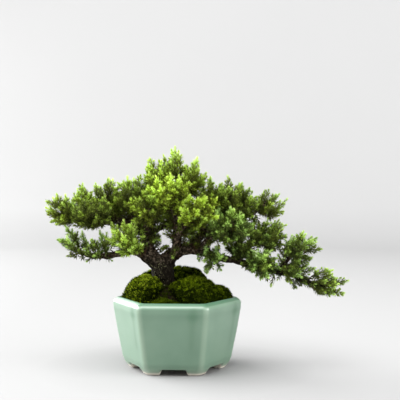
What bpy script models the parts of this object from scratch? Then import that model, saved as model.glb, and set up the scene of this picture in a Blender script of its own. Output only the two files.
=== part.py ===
"""A juniper bonsai in a six-sided glazed pot.

The pot stands on six corner feet. It holds a mounded root ball, a drain screen with its wire clip,
cushions of moss, the tree's wood as one grown piece, and the sprays of needles that its limbs carry.
Lengths are in metres. X runs along the tree's long side, and the tree's front faces -Y.
"""

import math

import bmesh
import bpy
from mathutils import Euler, Matrix, Vector, noise

MM = 0.001

# ---------------------------------------------------------------- driving dimensions
POT_RADIUS = 61 * MM  # rim, from the axis to a sharp corner
POT_HEIGHT = 65.5 * MM
POT_BASE_RADIUS = 51 * MM  # where the wall turns in to the feet
POT_WALL = 6 * MM  # across a flat side
POT_FLOOR = 6 * MM
CORNER_ROUNDING = 7 * MM  # of the six upright edges, in plan
CORNER_STEPS = 4
LIP_DROP = 3.2 * MM  # how far the lip falls from its inner to its outer edge
FOOT_HEIGHT = 6 * MM
FOOT_INSET = 5.5 * MM  # the foot's turn inwards below the wall
FOOT_THICKNESS = 8 * MM
FOOT_GAP_WIDTH = 27 * MM  # between two feet, at the ground
FOOT_GAP_SLOPE = 3.6 * MM  # how far each foot's side leans
FOOT_GAP_TOP = 0.6 * MM  # left below the floor, above a gap
DRAIN_RADIUS = 7 * MM

FIT = 0.35 * MM  # clearance between pieces that touch
BARK_FIT = 0.7 * MM  # clearance round the uneven wood
MOSS_FIT = 0.6 * MM  # between the moss and the soil's mound

SCREEN_OPENINGS = 6  # along one side
SCREEN_PITCH = 3.5 * MM
SCREEN_BAR = 1.0 * MM
SCREEN_THICKNESS = 1.0 * MM
CLIP_WIRE = 0.6 * MM  # radius
CLIP_TAIL = 6 * MM  # the clip's ends, folded out under the floor

SOIL_BELOW_RIM = 6.5 * MM
MOUND_HEIGHT = 23 * MM
MOUND_CENTRE = (-3 * MM, 2 * MM)  # from the pot's axis
MOUND_SINK = 3 * MM  # of the mound's widest ring, below the soil's edge
MOUND_ROOT = 2 * MM  # how far the mound goes on below that ring

TREE_TURN = math.radians(2.8)  # the tree's front, turned from the pot's front face
TRUNK_FOOT = (-11 * MM, 0.0)  # where the trunk's axis leaves the soil
TREE_SCALE = 1.0  # of the tree above the soil, on a pot that stays as it is
LAYOUT_SOIL = 59 * MM  # the height of the soil's edge in the tree's layout, below

ROOT2 = math.sqrt(3) / 2  # apothem of a hexagon, as a share of its corner radius

# What follows from them.
FLOOR_TOP = FOOT_HEIGHT + POT_FLOOR
WALL_AT_CORNER = POT_WALL / ROOT2
INNER_RADIUS = POT_RADIUS - WALL_AT_CORNER - 1 * MM
INNER_BASE_RADIUS = POT_BASE_RADIUS - WALL_AT_CORNER
SOIL_EDGE = POT_HEIGHT - SOIL_BELOW_RIM
RISE = Vector((0, 0, SOIL_EDGE - LAYOUT_SOIL))  # of the whole tree from its layout
SCREEN_SIDE = SCREEN_OPENINGS * SCREEN_PITCH + SCREEN_BAR
MOUND_RADII = (0.75 * INNER_RADIUS, 0.68 * INNER_RADIUS, MOUND_HEIGHT)

# ---------------------------------------------------------------- the tree's layout
# Every limb is a line of (x, y, z, radius) in millimetres, from the pot's axis and the ground. The
# whole layout rises and falls with the soil.
# The first point of each limb lies inside the limb that it grows from.
TRUNK = [
    (-8, 2, 34, 7), (-9, 1, 48, 11), (-11, 0, 61, 13.5), (-12, -1, 71, 11.5), (-12.5, -1, 81, 10.4),
    (-13.5, -1, 91, 10.2), (-14.5, 0, 99, 9.4), (-15, 0, 104, 7),
]
ROOTS = {
    "left": [(-13, 0, 60, 6), (-22, -3, 57, 4.5), (-31, -5, 51, 3), (-37, -6, 44, 1.8)],
    "front": [(-11, -3, 59, 5.5), (-9, -13, 55, 4.2), (-6, -22, 49, 2.8), (-4, -29, 42, 1.6)],
    "right": [(-8, 0, 60, 6), (2, 3, 57, 4.6), (12, 4, 51, 3), (21, 4, 43, 1.8)],
    "back": [(-11, 3, 59, 5.5), (-14, 13, 55, 4), (-16, 22, 49, 2.8), (-17, 29, 41, 1.6)],
}
LIMBS = {
    "left_low": [
        (-14, 0, 93, 7.5), (-23, -1, 101, 7.2), (-31, -2, 106, 5.4), (-42, -3, 109, 4.1),
        (-53, -4, 106.5, 3.3), (-64, -6, 104, 2.7), (-76, -7, 104, 2.3), (-87, -7, 107, 2),
        (-97, -6, 112, 1.6), (-104, -5, 118, 1.3),
    ],
    "right_low": [
        (-12, 0, 94, 7), (-5, 1, 104, 6.8), (4, 1, 109.5, 6), (14, 0, 110.5, 5.1),
        (23, -1, 108.5, 4.3), (32, -2, 104.5, 3.6), (42, -3, 101.5, 3), (53, -4, 99.5, 2.8),
        (65, -4, 96.5, 2.6), (78, -4, 93, 2.4), (92, -3, 89.5, 2.2), (104, -1, 86.5, 2),
        (116, 0, 82, 1.7), (128, 0, 77.5, 1.5), (139, 0, 75.5, 1.2), (148, 0, 75.5, 1),
    ],
    "left_leader": [
        (-22, -1, 101, 6), (-28, 1, 113, 5.4), (-28.5, 3, 125, 4.8), (-25, 4, 138, 4),
        (-22, 5, 151, 3.2), (-20, 5, 164, 2.4), (-18, 4, 176, 1.6),
    ],
    "left_high": [
        (-28, 2, 119, 4), (-36, 3, 131, 3.8), (-46, 4, 136, 3.4), (-58, 4, 136.5, 3),
        (-70, 4, 134.5, 2.6), (-82, 4, 133.5, 2.3), (-94, 3, 136, 2), (-103, 2, 141, 1.6),
        (-108, 1, 146, 1.2),
    ],
    "right_leader": [
        (1, 1, 108, 4.6), (-1, 2, 118, 4), (0, 2, 128, 3.6), (3, 1, 140, 3.2), (4, 0, 152, 2.8),
        (2, 0, 166, 2.3), (0, 0, 179, 1.7), (-1, 0, 190, 1.2),
    ],
    "crown_right": [(4, 0, 150, 2.2), (9, 2, 160, 2.1), (13, 3, 170, 1.6), (15, 4, 180, 1.2)],
    "right_high": [
        (11, 1, 110, 4.2), (20, 2, 120, 3.8), (30, 2, 129, 3.3), (40, 1, 138, 2.8),
        (47, 1, 148, 2.2), (49, 1, 158, 1.5),
    ],
    "right_inner": [(21, 2, 121, 3), (25, 3, 135, 2.6), (28, 3, 149, 2), (29, 2, 162, 1.4)],
    "right_peak": [
        (34, 2, 132, 2.6), (47, 3, 136, 2.5), (60, 3, 138.5, 2.2), (70, 3, 142, 1.9),
        (78, 2, 148, 1.5), (83, 2, 155, 1.1),
    ],
    "right_outer": [(56, 3, 138, 2), (61, 3, 145, 1.7), (65, 2, 154, 1.2)],
    "shoulder": [
        (50, -4, 99.5, 2.4), (58, -2, 108, 2.2), (67, -1, 115, 2), (77, 0, 120, 1.7),
        (87, 0, 125, 1.3),
    ],
    "right_core": [(25, 2, 124.5, 2.6), (37, 4, 127, 2.3), (50, 6, 129, 1.9), (60, 7, 132, 1.4)],
    "left_front": [(-68, 4, 134.8, 2.2), (-71, -5, 138, 2), (-75, -13, 141, 1.6), (-78, -19, 144, 1.2)],
    "left_inner": [(-40, 3.5, 133, 2.9), (-41, 3, 143, 2.4), (-41, 3, 152, 1.7), (-40, 3, 160, 1.2)],
    "left_middle": [(-63, 4, 135.5, 2.4), (-66, 6, 143, 2), (-67, 8, 150, 1.6), (-66, 9, 157, 1.1)],
    "left_outer": [(-83, 4, 133.5, 2), (-87, 5, 140, 1.8), (-89, 7, 147, 1.4), (-88, 8, 153, 1)],
    "left_under": [(-33, 2.5, 127, 3), (-37, 5, 131, 2.6), (-43, 7, 134, 2), (-49, 8, 136, 1.4)],
    "far_high": [
        (95, -3, 89.5, 1.8), (101, -3, 97, 1.6), (107, -2, 105, 1.4), (114, -2, 111, 1.2),
        (121, -2, 115, 1),
    ],
    "low_spray": [(72, -4, 94.5, 1.8), (76, -9, 98, 1.5), (82, -12, 101, 1.1)],
    "front": [
        (-4, 0, 105, 4.4), (1, -8, 117, 3.5), (1, -16, 129, 3), (-1, -21, 141, 2.5),
        (-4, -24, 153, 1.8), (-5, -24, 164, 1.3),
    ],
    "front_right": [(1, -13, 125, 2.4), (8, -20, 134, 2.1), (14, -26, 141, 1.7), (18, -29, 147, 1.2)],
    "front_left": [(-28, 2, 117, 3), (-29, -8, 129, 2.5), (-27, -17, 140, 2), (-25, -23, 148, 1.4)],
    "right_front": [
        (20, -1, 109.5, 3.2), (27, -8, 117, 2.7), (36, -15, 125, 2.2), (44, -20, 132, 1.6),
        (49, -22, 138, 1.2),
    ],
    "back": [
        (-18, 2, 97, 5), (-26, 13, 110, 4.3), (-29, 24, 124, 3.5), (-23, 33, 138, 2.8),
        (-14, 40, 150, 2), (-10, 42, 160, 1.4),
    ],
    "back_left": [
        (-27.5, 19, 118, 3), (-33, 27, 130, 2.8), (-41, 34, 139, 2.3), (-50, 38, 146, 1.7),
        (-57, 39, 151, 1.2),
    ],
    "back_right": [
        (-28.5, 22, 121, 3), (-12, 28, 131, 2.8), (12, 33, 136, 2.4), (33, 37, 142, 1.8),
        (44, 39, 149, 1.2),
    ],
    "sprig": [(26, -1.5, 107, 2.4), (30, -6, 104, 1.8), (33, -10, 101, 1.4), (35, -12, 98, 1)],
    "left_spray": [(-34, -2, 107.5, 2.6), (-38, -8, 113, 2), (-43, -12, 119, 1.6), (-46, -13, 126, 1.1)],
}
# Every spray of needles is (centre, radii, tilt about Y in degrees), in millimetres.
SPRAYS = {
    "left_tip": ((-107, 1, 146), (15, 16, 15), 15),
    "left_outer": ((-88, 8, 152), (15, 19, 16), 0),
    "left_middle": ((-66, 9, 156), (17, 20, 18), 0),
    "left_front": ((-77, -20, 144), (18, 15, 13), 0),
    "left_inner": ((-41, 3, 160), (17, 19, 18), 0),
    "left_under": ((-42, 8, 136), (15, 15, 11), 0),
    "left_spray": ((-46, -14, 121), (16, 14, 15), 0),
    "low_left_outer": ((-97, -6, 117), (14, 12, 12), 20),
    "low_left_inner": ((-73, -8, 114), (15, 14, 14), 0),
    "crown_left": ((-18, 5, 180), (13, 17, 18), 0),
    "crown_top": ((-1, 0, 188), (12, 14, 15), 0),
    "crown_right": ((16, 4, 176), (12, 18, 17), 0),
    "crown_front": ((-5, -26, 162), (20, 17, 17), 0),
    "front_right": ((19, -32, 148), (19, 15, 13), 0),
    "front_left": ((-27, -26, 149), (16, 15, 14), 0),
    "core": ((8, 0, 139), (24, 17, 15), 0),
    "right_inner": ((31, 3, 160), (13, 20, 17), 0),
    "right_upper": ((49, 1, 158), (13, 20, 18), 0),
    "right_outer": ((66, 3, 152), (11, 17, 16), 0),
    "right_peak": ((86, 2, 152), (15, 14, 12), 15),
    "right_core": ((57, 7, 131), (18, 16, 12), 0),
    "shoulder": ((85, 1, 124), (17, 18, 15), 0),
    "right_front": ((48, -24, 132), (20, 15, 16), 0),
    "right_lower": ((61, -4, 112), (15, 15, 12), 0),
    "sprig": ((33, -12, 101), (12, 11, 12), 0),
    "low_right": ((80, -10, 97), (17, 14, 14), 10),
    "far_upper": ((115, -2, 113), (17, 16, 14), 0),
    "far_lower": ((112, 2, 90), (17, 15, 14), 25),
    "right_end": ((140, 0, 79), (18, 13, 13), 15),
    "back_left": ((-54, 41, 149), (24, 20, 18), 0),
    "back_centre": ((-9, 45, 158), (22, 20, 21), 0),
    "back_right": ((42, 41, 147), (23, 20, 18), 0),
}
# Every moss cushion is (centre, radii). Lengths along X and Y are shares of the pot's inner corner
# radius, which the cushions fill, and heights are in millimetres above the soil's edge.
MOSS = {
    "front_left": ((-0.59, -0.26, 2), (0.44, 0.63, 26)),
    "back_left": ((-0.54, 0.41, 3), (0.50, 0.56, 30)),
    "back_right": ((0.09, 0.44, 4), (0.52, 0.52, 30)),
    "front_right": ((0.28, -0.30, 2), (0.54, 0.63, 24)),
    "far_right": ((0.76, 0.07, 1), (0.30, 0.63, 15)),
    "front_centre": ((-0.20, -0.60, -1), (0.34, 0.34, 9)),
}
MOSS_DOME = [  # (inwards from the pot's inner corner, above the soil's edge)
    (1.2, -2), (1.2, 3), (1.8, 7), (3.6, 12), (7, 17.5), (13, 23.5), (22, 29.5), (34, 34.5),
]
GNARL_WAVE = 7 * MM  # length of the wood's unevenness
GNARL_SHARE = 0.13  # its height, as a share of the limb's radius
SPRAY_LUMP = 0.12  # unevenness of a spray, as a share of its radii


# ---------------------------------------------------------------- scene and materials
def clear_scene():
    for obj in list(bpy.data.objects):
        bpy.data.objects.remove(obj, do_unlink=True)


def new_collection(name):
    made = bpy.data.collections.new(name)
    bpy.context.scene.collection.children.link(made)
    return made


def new_material(name, colour, roughness, metallic=0.0, coat=0.0):
    made = bpy.data.materials.new(name)
    made.use_nodes = True
    shader = made.node_tree.nodes["Principled BSDF"]
    shader.inputs["Base Color"].default_value = (*colour, 1.0)
    shader.inputs["Roughness"].default_value = roughness
    shader.inputs["Metallic"].default_value = metallic
    shader.inputs["Coat Weight"].default_value = coat
    made.diffuse_color = (*colour, 1.0)
    return made


clear_scene()
PARTS = new_collection("juniper_bonsai")
CUTTERS = new_collection("cutters")
CELADON = new_material("celadon_glaze", (0.22, 0.36, 0.25), 0.14, coat=0.5)
SOIL = new_material("akadama_soil", (0.10, 0.055, 0.03), 0.95)
PLASTIC = new_material("screen_plastic", (0.03, 0.03, 0.03), 0.5)
WIRE = new_material("clip_wire", (0.45, 0.40, 0.36), 0.35, metallic=1.0)
BARK = new_material("juniper_bark", (0.045, 0.032, 0.022), 0.9)
MOSS_GREEN = new_material("moss_green", (0.05, 0.085, 0.008), 0.9)
NEEDLE_GREEN = new_material("needle_green", (0.12, 0.19, 0.035), 0.6)


# ---------------------------------------------------------------- shape helpers
def add_object(name, mesh, material, collection=PARTS):
    obj = bpy.data.objects.new(name, mesh)
    if material:
        mesh.materials.clear()
        mesh.materials.append(material)
    collection.objects.link(obj)
    if collection is CUTTERS:
        obj.hide_render = True
        obj.display_type = "WIRE"
    return obj


def mesh_from(name, bm):
    bmesh.ops.recalc_face_normals(bm, faces=bm.faces)
    mesh = bpy.data.meshes.new(name)
    bm.to_mesh(mesh)
    bm.free()
    return mesh


def bake(obj):
    """Replaces an object's mesh by the one its modifiers make."""
    bpy.context.view_layer.update()
    graph = bpy.context.evaluated_depsgraph_get()
    mesh = bpy.data.meshes.new_from_object(obj.evaluated_get(graph))
    obj.modifiers.clear()
    obj.data = mesh
    return obj


def combine(obj, others, operation):
    """Joins others to obj, or cuts them from it, with exact Booleans."""
    for other in others:
        modifier = obj.modifiers.new(operation.lower(), "BOOLEAN")
        modifier.operation = operation
        modifier.object = other
    return bake(obj) if others else obj


def discard(objects):
    for obj in objects:
        bpy.data.objects.remove(obj, do_unlink=True)


def rounded_hexagon(radius):
    """Points of a six-sided outline of one corner radius, its corners rounded."""
    rounding = min(CORNER_ROUNDING, 0.35 * radius)
    points = []
    for corner in range(6):
        turn = math.radians(60 * corner)
        centre = radius - rounding / ROOT2
        for x, y in arc(0, 0, rounding, 60 * corner - 30, 60 * corner + 30, CORNER_STEPS):
            points.append((centre * math.cos(turn) + x, centre * math.sin(turn) + y))
    return points


def hexagonal_body(name, profile, material, collection=PARTS):
    """A six-sided body from a section of (corner radius, z) that starts and ends on the axis."""
    bm = bmesh.new()
    first = bm.verts.new((0, 0, profile[0][1]))
    last = bm.verts.new((0, 0, profile[-1][1]))
    rings = [
        [bm.verts.new((x, y, z)) for x, y in rounded_hexagon(radius)] for radius, z in profile[1:-1]
    ]
    count = len(rings[0])
    for i in range(count):
        j = (i + 1) % count
        bm.faces.new((first, rings[0][i], rings[0][j]))
        bm.faces.new((last, rings[-1][j], rings[-1][i]))
        for low, high in zip(rings, rings[1:]):
            bm.faces.new((low[j], low[i], high[i], high[j]))
    return add_object(name, mesh_from(name, bm), material, collection)


def mound_shape(name, extra):
    """The mound of soil under the moss, widened by extra, as a cutter."""
    bm = bmesh.new()
    bmesh.ops.create_uvsphere(bm, u_segments=28, v_segments=12, radius=1)
    bmesh.ops.scale(bm, vec=[radius + extra for radius in MOUND_RADII], verts=bm.verts)
    bmesh.ops.translate(bm, vec=(*MOUND_CENTRE, SOIL_EDGE - MOUND_SINK), verts=bm.verts)
    return add_object(name, mesh_from(name, bm), None, CUTTERS)


def prism(name, outline, half_length, turn):
    """A cutter along Y: an outline of (x, z), turned about Z."""
    bm = bmesh.new()
    face = bm.faces.new([bm.verts.new((x, -half_length, z)) for x, z in outline])
    swept = bmesh.ops.extrude_face_region(bm, geom=[face])["geom"]
    moved = [item for item in swept if isinstance(item, bmesh.types.BMVert)]
    bmesh.ops.translate(bm, vec=(0, 2 * half_length, 0), verts=moved)
    bmesh.ops.rotate(bm, matrix=Matrix.Rotation(turn, 3, "Z"), verts=bm.verts)
    return add_object(name, mesh_from(name, bm), None, CUTTERS)


def cylinder(name, radius, low, high, segments=24):
    bm = bmesh.new()
    bmesh.ops.create_cone(
        bm, cap_ends=True, segments=segments, radius1=radius, radius2=radius, depth=high - low
    )
    bmesh.ops.translate(bm, vec=(0, 0, (low + high) / 2), verts=bm.verts)
    return add_object(name, mesh_from(name, bm), None, CUTTERS)


def box_cutter(name, low, high):
    bm = bmesh.new()
    bmesh.ops.create_cube(bm, size=1)
    bmesh.ops.scale(bm, vec=Vector(high) - Vector(low), verts=bm.verts)
    bmesh.ops.translate(bm, vec=(Vector(high) + Vector(low)) / 2, verts=bm.verts)
    return add_object(name, mesh_from(name, bm), None, CUTTERS)


def arc(centre_x, centre_z, radius, start, end, steps):
    """Points of an arc in a profile, angles in degrees from +X towards +Z."""
    angles = [math.radians(start + (end - start) * i / steps) for i in range(steps + 1)]
    return [(centre_x + radius * math.cos(a), centre_z + radius * math.sin(a)) for a in angles]


def smooth_line(points, step):
    """A Catmull-Rom line through (x, y, z, radius) points, sampled about every step."""
    line = []
    padded = [points[0], *points, points[-1]]
    for before, a, b, after in zip(padded, padded[1:], padded[2:], padded[3:]):
        span = (Vector(b[:3]) - Vector(a[:3])).length
        count = max(1, round(span / step))
        for i in range(count):
            t = i / count
            line.append([
                0.5 * (2 * q + (r - p) * t + (2 * p - 5 * q + 4 * r - s) * t * t
                       + (3 * q - p - 3 * r + s) * t ** 3)
                for p, q, r, s in zip(before, a, b, after)
            ])
    return [*line, list(points[-1])]


# ---------------------------------------------------------------- pot
def pot_profile():
    """The pot's section at a corner: up the inside, over the lip, down the outside, in under the floor."""
    lip_outer = POT_HEIGHT - LIP_DROP
    base = FOOT_HEIGHT
    foot_radius = POT_BASE_RADIUS - FOOT_INSET
    cove = 3 * MM
    inside = [
        (0, FLOOR_TOP),
        *arc(INNER_BASE_RADIUS - cove, FLOOR_TOP + cove, cove, -90, -8, 3),
        (INNER_RADIUS - 0.8 * MM, POT_HEIGHT - 9 * MM),
        (INNER_RADIUS, POT_HEIGHT - 3 * MM),
    ]
    lip = [
        (INNER_RADIUS + 0.5 * MM, POT_HEIGHT - 1 * MM),
        (INNER_RADIUS + 1.6 * MM, POT_HEIGHT - 0.2 * MM),
        (INNER_RADIUS + 3.0 * MM, POT_HEIGHT),
        (POT_RADIUS - 3.0 * MM, POT_HEIGHT - 0.9 * MM),
        (POT_RADIUS - 1.2 * MM, lip_outer + 0.9 * MM),
        (POT_RADIUS - 0.25 * MM, lip_outer - 0.9 * MM),
        (POT_RADIUS, lip_outer - 3.2 * MM),
        (POT_RADIUS - 0.3 * MM, lip_outer - 6.5 * MM),
    ]
    waist = 0.5 * (POT_RADIUS + POT_BASE_RADIUS) + 0.9 * MM
    outside = [
        (waist, 0.5 * (lip_outer + base)),
        (POT_BASE_RADIUS + 0.9 * MM, base + 4.5 * MM),
        (POT_BASE_RADIUS - 0.9 * MM, base - 0.3 * MM),
        (POT_BASE_RADIUS - 3.2 * MM, base - 3.2 * MM),
    ]
    inner_foot = foot_radius - FOOT_THICKNESS
    foot = [
        (foot_radius + 0.6 * MM, 0.9 * MM),
        (foot_radius - 0.6 * MM, 0.12 * MM),
        (foot_radius - 1.8 * MM, 0),
        (inner_foot + 1.8 * MM, 0),
        (inner_foot + 0.6 * MM, 0.35 * MM),
        (inner_foot + 0.1 * MM, 1.2 * MM),
        (inner_foot - 0.5 * MM, base - 1.4 * MM),
        (inner_foot - 1.0 * MM, base - 0.5 * MM),
        (inner_foot - 2.0 * MM, base),
        (0, base),
    ]
    return inside + lip + outside + foot


def foot_gap_outline():
    """The opening between two feet, from below the ground to just under the floor."""
    half = FOOT_GAP_WIDTH / 2
    top = FOOT_HEIGHT - FOOT_GAP_TOP
    narrow = half - FOOT_GAP_SLOPE
    soft = 1.2 * MM
    right = [
        (half + 1.5 * MM, -2 * MM),
        (half + 0.6 * MM, 0.4 * MM),
        (half - 0.8 * MM, 1.6 * MM),
        (narrow + 0.5 * MM, top - soft),
        (narrow - 0.4 * MM, top - 0.3 * MM),
        (narrow - soft, top),
    ]
    return right + [(-x, z) for x, z in reversed(right)]


def make_pot():
    pot = hexagonal_body("pot", pot_profile(), CELADON)
    reach = POT_RADIUS * 1.2
    gaps = [prism(f"foot_gap_{i}", foot_gap_outline(), reach, math.radians(60 * i)) for i in range(3)]
    drain = cylinder("drain_hole", DRAIN_RADIUS, FOOT_HEIGHT - 3 * MM, FLOOR_TOP + 3 * MM)
    combine(pot, [*gaps, drain], "DIFFERENCE")
    discard([*gaps, drain])
    pot.data.shade_smooth()
    pot.data.set_sharp_from_angle(angle=math.radians(35))
    return pot


# ---------------------------------------------------------------- drainage
def make_drain_screen():
    """A square plastic mesh over the drain hole: bars left between rows of openings, thickened."""
    lines = []
    for i in range(SCREEN_OPENINGS + 1):
        edge = -SCREEN_SIDE / 2 + i * SCREEN_PITCH
        lines += [edge, edge + SCREEN_BAR]
    bm = bmesh.new()
    grid = [[bm.verts.new((x, y, 0)) for x in lines] for y in lines]
    for j in range(len(lines) - 1):
        for i in range(len(lines) - 1):
            if i % 2 and j % 2:
                continue  # an opening
            bm.faces.new((grid[j][i], grid[j][i + 1], grid[j + 1][i + 1], grid[j + 1][i]))
    screen = add_object("drain_screen", mesh_from("drain_screen", bm), PLASTIC)
    solid = screen.modifiers.new("thickness", "SOLIDIFY")
    solid.thickness = SCREEN_THICKNESS
    solid.offset = 1
    screen.location.z = FLOOR_TOP + FIT
    return screen


def make_screen_clip():
    """A wire staple over the screen. Its legs pass through the drain hole and fold out under the floor."""
    leg = SCREEN_PITCH * 1.5
    top = FLOOR_TOP + FIT + SCREEN_THICKNESS + FIT + CLIP_WIRE
    under = FOOT_HEIGHT - FIT - CLIP_WIRE
    tail = DRAIN_RADIUS + CLIP_TAIL
    bend = 1.2 * MM
    half = [
        (leg - bend, top), (leg - 0.35 * bend, top - 0.35 * bend), (leg, top - bend),
        (leg, under + bend), (leg + 0.35 * bend, under + 0.35 * bend), (leg + bend, under), (tail, under),
    ]
    line = [(-x, z) for x, z in reversed(half)] + half
    curve = bpy.data.curves.new("screen_clip", "CURVE")
    curve.dimensions = "3D"
    curve.bevel_depth = CLIP_WIRE
    curve.bevel_resolution = 2
    curve.use_fill_caps = True
    spline = curve.splines.new("POLY")
    spline.points.add(len(line) - 1)
    for point, (x, z) in zip(spline.points, line):
        point.co = (x, SCREEN_PITCH / 2, z, 1)
    clip = bpy.data.objects.new("screen_clip", curve)
    curve.materials.append(WIRE)
    PARTS.objects.link(clip)
    return clip


# ---------------------------------------------------------------- wood
def tree_point(x, y, z):
    """A point of the tree's layout in metres, scaled above the soil and turned with the tree."""
    foot = Vector((*TRUNK_FOOT, SOIL_EDGE))
    at = Vector((x, y, z)) * MM + RISE
    if at.z > SOIL_EDGE:
        at = foot + (at - foot) * TREE_SCALE
    return Matrix.Rotation(TREE_TURN, 3, "Z") @ at


def limb_tube(name, points, extra, sides_setting, collection, material):
    """One limb as a tube of changing radius, a little uneven. extra widens it, for a cutter."""
    line = smooth_line(points, 7.5)
    curve = bpy.data.curves.new(name, "CURVE")
    curve.dimensions = "3D"
    curve.bevel_depth = 1
    curve.bevel_resolution = sides_setting
    curve.use_fill_caps = True
    spline = curve.splines.new("POLY")
    spline.points.add(len(line) - 1)
    for point, (x, y, z, radius) in zip(spline.points, line):
        point.co = (*tree_point(x, y, z), 1)
        point.radius = radius * MM * (TREE_SCALE if z * MM > LAYOUT_SOIL else 1) + extra
    for end, beside in ((0, 1), (-1, -2)):
        tip = Vector(spline.points[end].co[:3])
        away = (tip - Vector(spline.points[beside].co[:3])).normalized()
        spline.points[end].co = (*(tip + away * extra), 1)
    helper = bpy.data.objects.new(name, curve)
    collection.objects.link(helper)
    bpy.context.view_layer.update()
    graph = bpy.context.evaluated_depsgraph_get()
    mesh = bpy.data.meshes.new_from_object(helper.evaluated_get(graph))
    bpy.data.objects.remove(helper, do_unlink=True)
    bm = bmesh.new()
    bm.from_mesh(mesh)
    bmesh.ops.remove_doubles(bm, verts=bm.verts, dist=0.00001)
    bm.normal_update()
    axis = [Vector(tree_point(*p[:3])) for p in line]
    shifts = []
    for vert in bm.verts:
        near = min(axis, key=lambda p: (p - vert.co).length_squared)
        reach = max((vert.co - near).length - extra, 0)
        bump = noise.noise((near - RISE) / GNARL_WAVE + vert.normal * 0.8)
        shifts.append(vert.normal * bump * GNARL_SHARE * reach)
    for vert, shift in zip(bm.verts, shifts):
        vert.co += shift
    return add_object(name, mesh_from(name, bm), material, collection)


def all_limbs():
    """(name, points, bevel resolution) of the trunk, the roots and the limbs."""
    yield "trunk", TRUNK, 4
    for name, points in ROOTS.items():
        yield f"root_{name}", points, 1
    for name, points in LIMBS.items():
        yield f"limb_{name}", points, 2 if points[1][3] > 3 else 1


def make_wood():
    pieces = [limb_tube(name, points, 0, sides, CUTTERS, BARK) for name, points, sides in all_limbs()]
    wood = pieces[0]
    combine(wood, pieces[1:], "UNION")
    discard(pieces[1:])
    CUTTERS.objects.unlink(wood)
    PARTS.objects.link(wood)
    wood.hide_render = False
    wood.display_type = "TEXTURED"
    wood.name = wood.data.name = "trunk_and_limbs"
    wood.data.shade_smooth()
    return wood


def make_wood_cutters():
    return [
        limb_tube(f"room_for_{name}", points, BARK_FIT, sides, CUTTERS, None)
        for name, points, sides in all_limbs()
    ]


def bounds(obj):
    corners = [obj.matrix_world @ Vector(corner) for corner in obj.bound_box]
    low = Vector([min(c[i] for c in corners) for i in range(3)])
    high = Vector([max(c[i] for c in corners) for i in range(3)])
    return low, high


def touching(obj, others):
    """The others whose boxes meet obj's."""
    bpy.context.view_layer.update()
    low, high = bounds(obj)
    found = []
    for other in others:
        other_low, other_high = bounds(other)
        if all(low[i] < other_high[i] and other_low[i] < high[i] for i in range(3)):
            found.append(other)
    return found


# ---------------------------------------------------------------- soft masses
def reach_towards(radii, direction):
    """How far an ellipsoid reaches from its centre along a direction."""
    return math.sqrt(sum((r * d) ** 2 for r, d in zip(radii, direction)))


def keep_below(bm, point, normal):
    """Cuts off what lies beyond a plane, and closes the cut."""
    geometry = [*bm.verts, *bm.edges, *bm.faces]
    cut = bmesh.ops.bisect_plane(
        bm, geom=geometry, plane_co=point, plane_no=normal, clear_outer=True, dist=1e-7
    )
    edges = [item for item in cut["geom_cut"] if isinstance(item, bmesh.types.BMEdge)]
    if edges:
        bmesh.ops.contextual_create(bm, geom=edges)
        bmesh.ops.remove_doubles(bm, verts=bm.verts, dist=0.00002)


def planes_between(name, masses):
    """The planes that part one mass from each other mass, as (point, outward normal)."""
    centre, radii = masses[name]
    for other, (other_centre, other_radii) in masses.items():
        gap = other_centre - centre
        if other == name or gap.length > max(radii) + max(other_radii) + 4 * MM:
            continue
        direction = gap.normalized()
        mine = reach_towards(radii, direction)
        theirs = reach_towards(other_radii, direction)
        share = mine / (mine + theirs)
        yield centre + direction * (gap.length * share - FIT / 2), direction


def lumpy_mass(name, centre, radii, tilt, planes, material, lump, subdivisions=2):
    """An uneven ellipsoid, cut by planes."""
    bm = bmesh.new()
    bmesh.ops.create_icosphere(bm, subdivisions=subdivisions, radius=1)
    for vert in bm.verts:
        vert.co *= 1 + lump * noise.noise(vert.co * 2.1 + (centre - RISE) * 90)
    bmesh.ops.scale(bm, vec=radii, verts=bm.verts)
    bmesh.ops.rotate(bm, matrix=Euler((0, math.radians(tilt), TREE_TURN)).to_matrix(), verts=bm.verts)
    bmesh.ops.translate(bm, vec=centre, verts=bm.verts)
    for point, normal in planes:
        keep_below(bm, point, normal)
    return add_object(name, mesh_from(name, bm), material)


def make_sprays(cutters):
    masses = {
        name: (tree_point(*centre), Vector(radii) * MM * TREE_SCALE)
        for name, (centre, radii, _) in SPRAYS.items()
    }
    made = []
    for name, (centre, radii) in masses.items():
        planes = list(planes_between(name, masses))
        obj = lumpy_mass(f"foliage_{name}", centre, radii, SPRAYS[name][2], planes, NEEDLE_GREEN, SPRAY_LUMP)
        combine(obj, touching(obj, cutters), "DIFFERENCE")
        made.append(obj)
    return made


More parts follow.
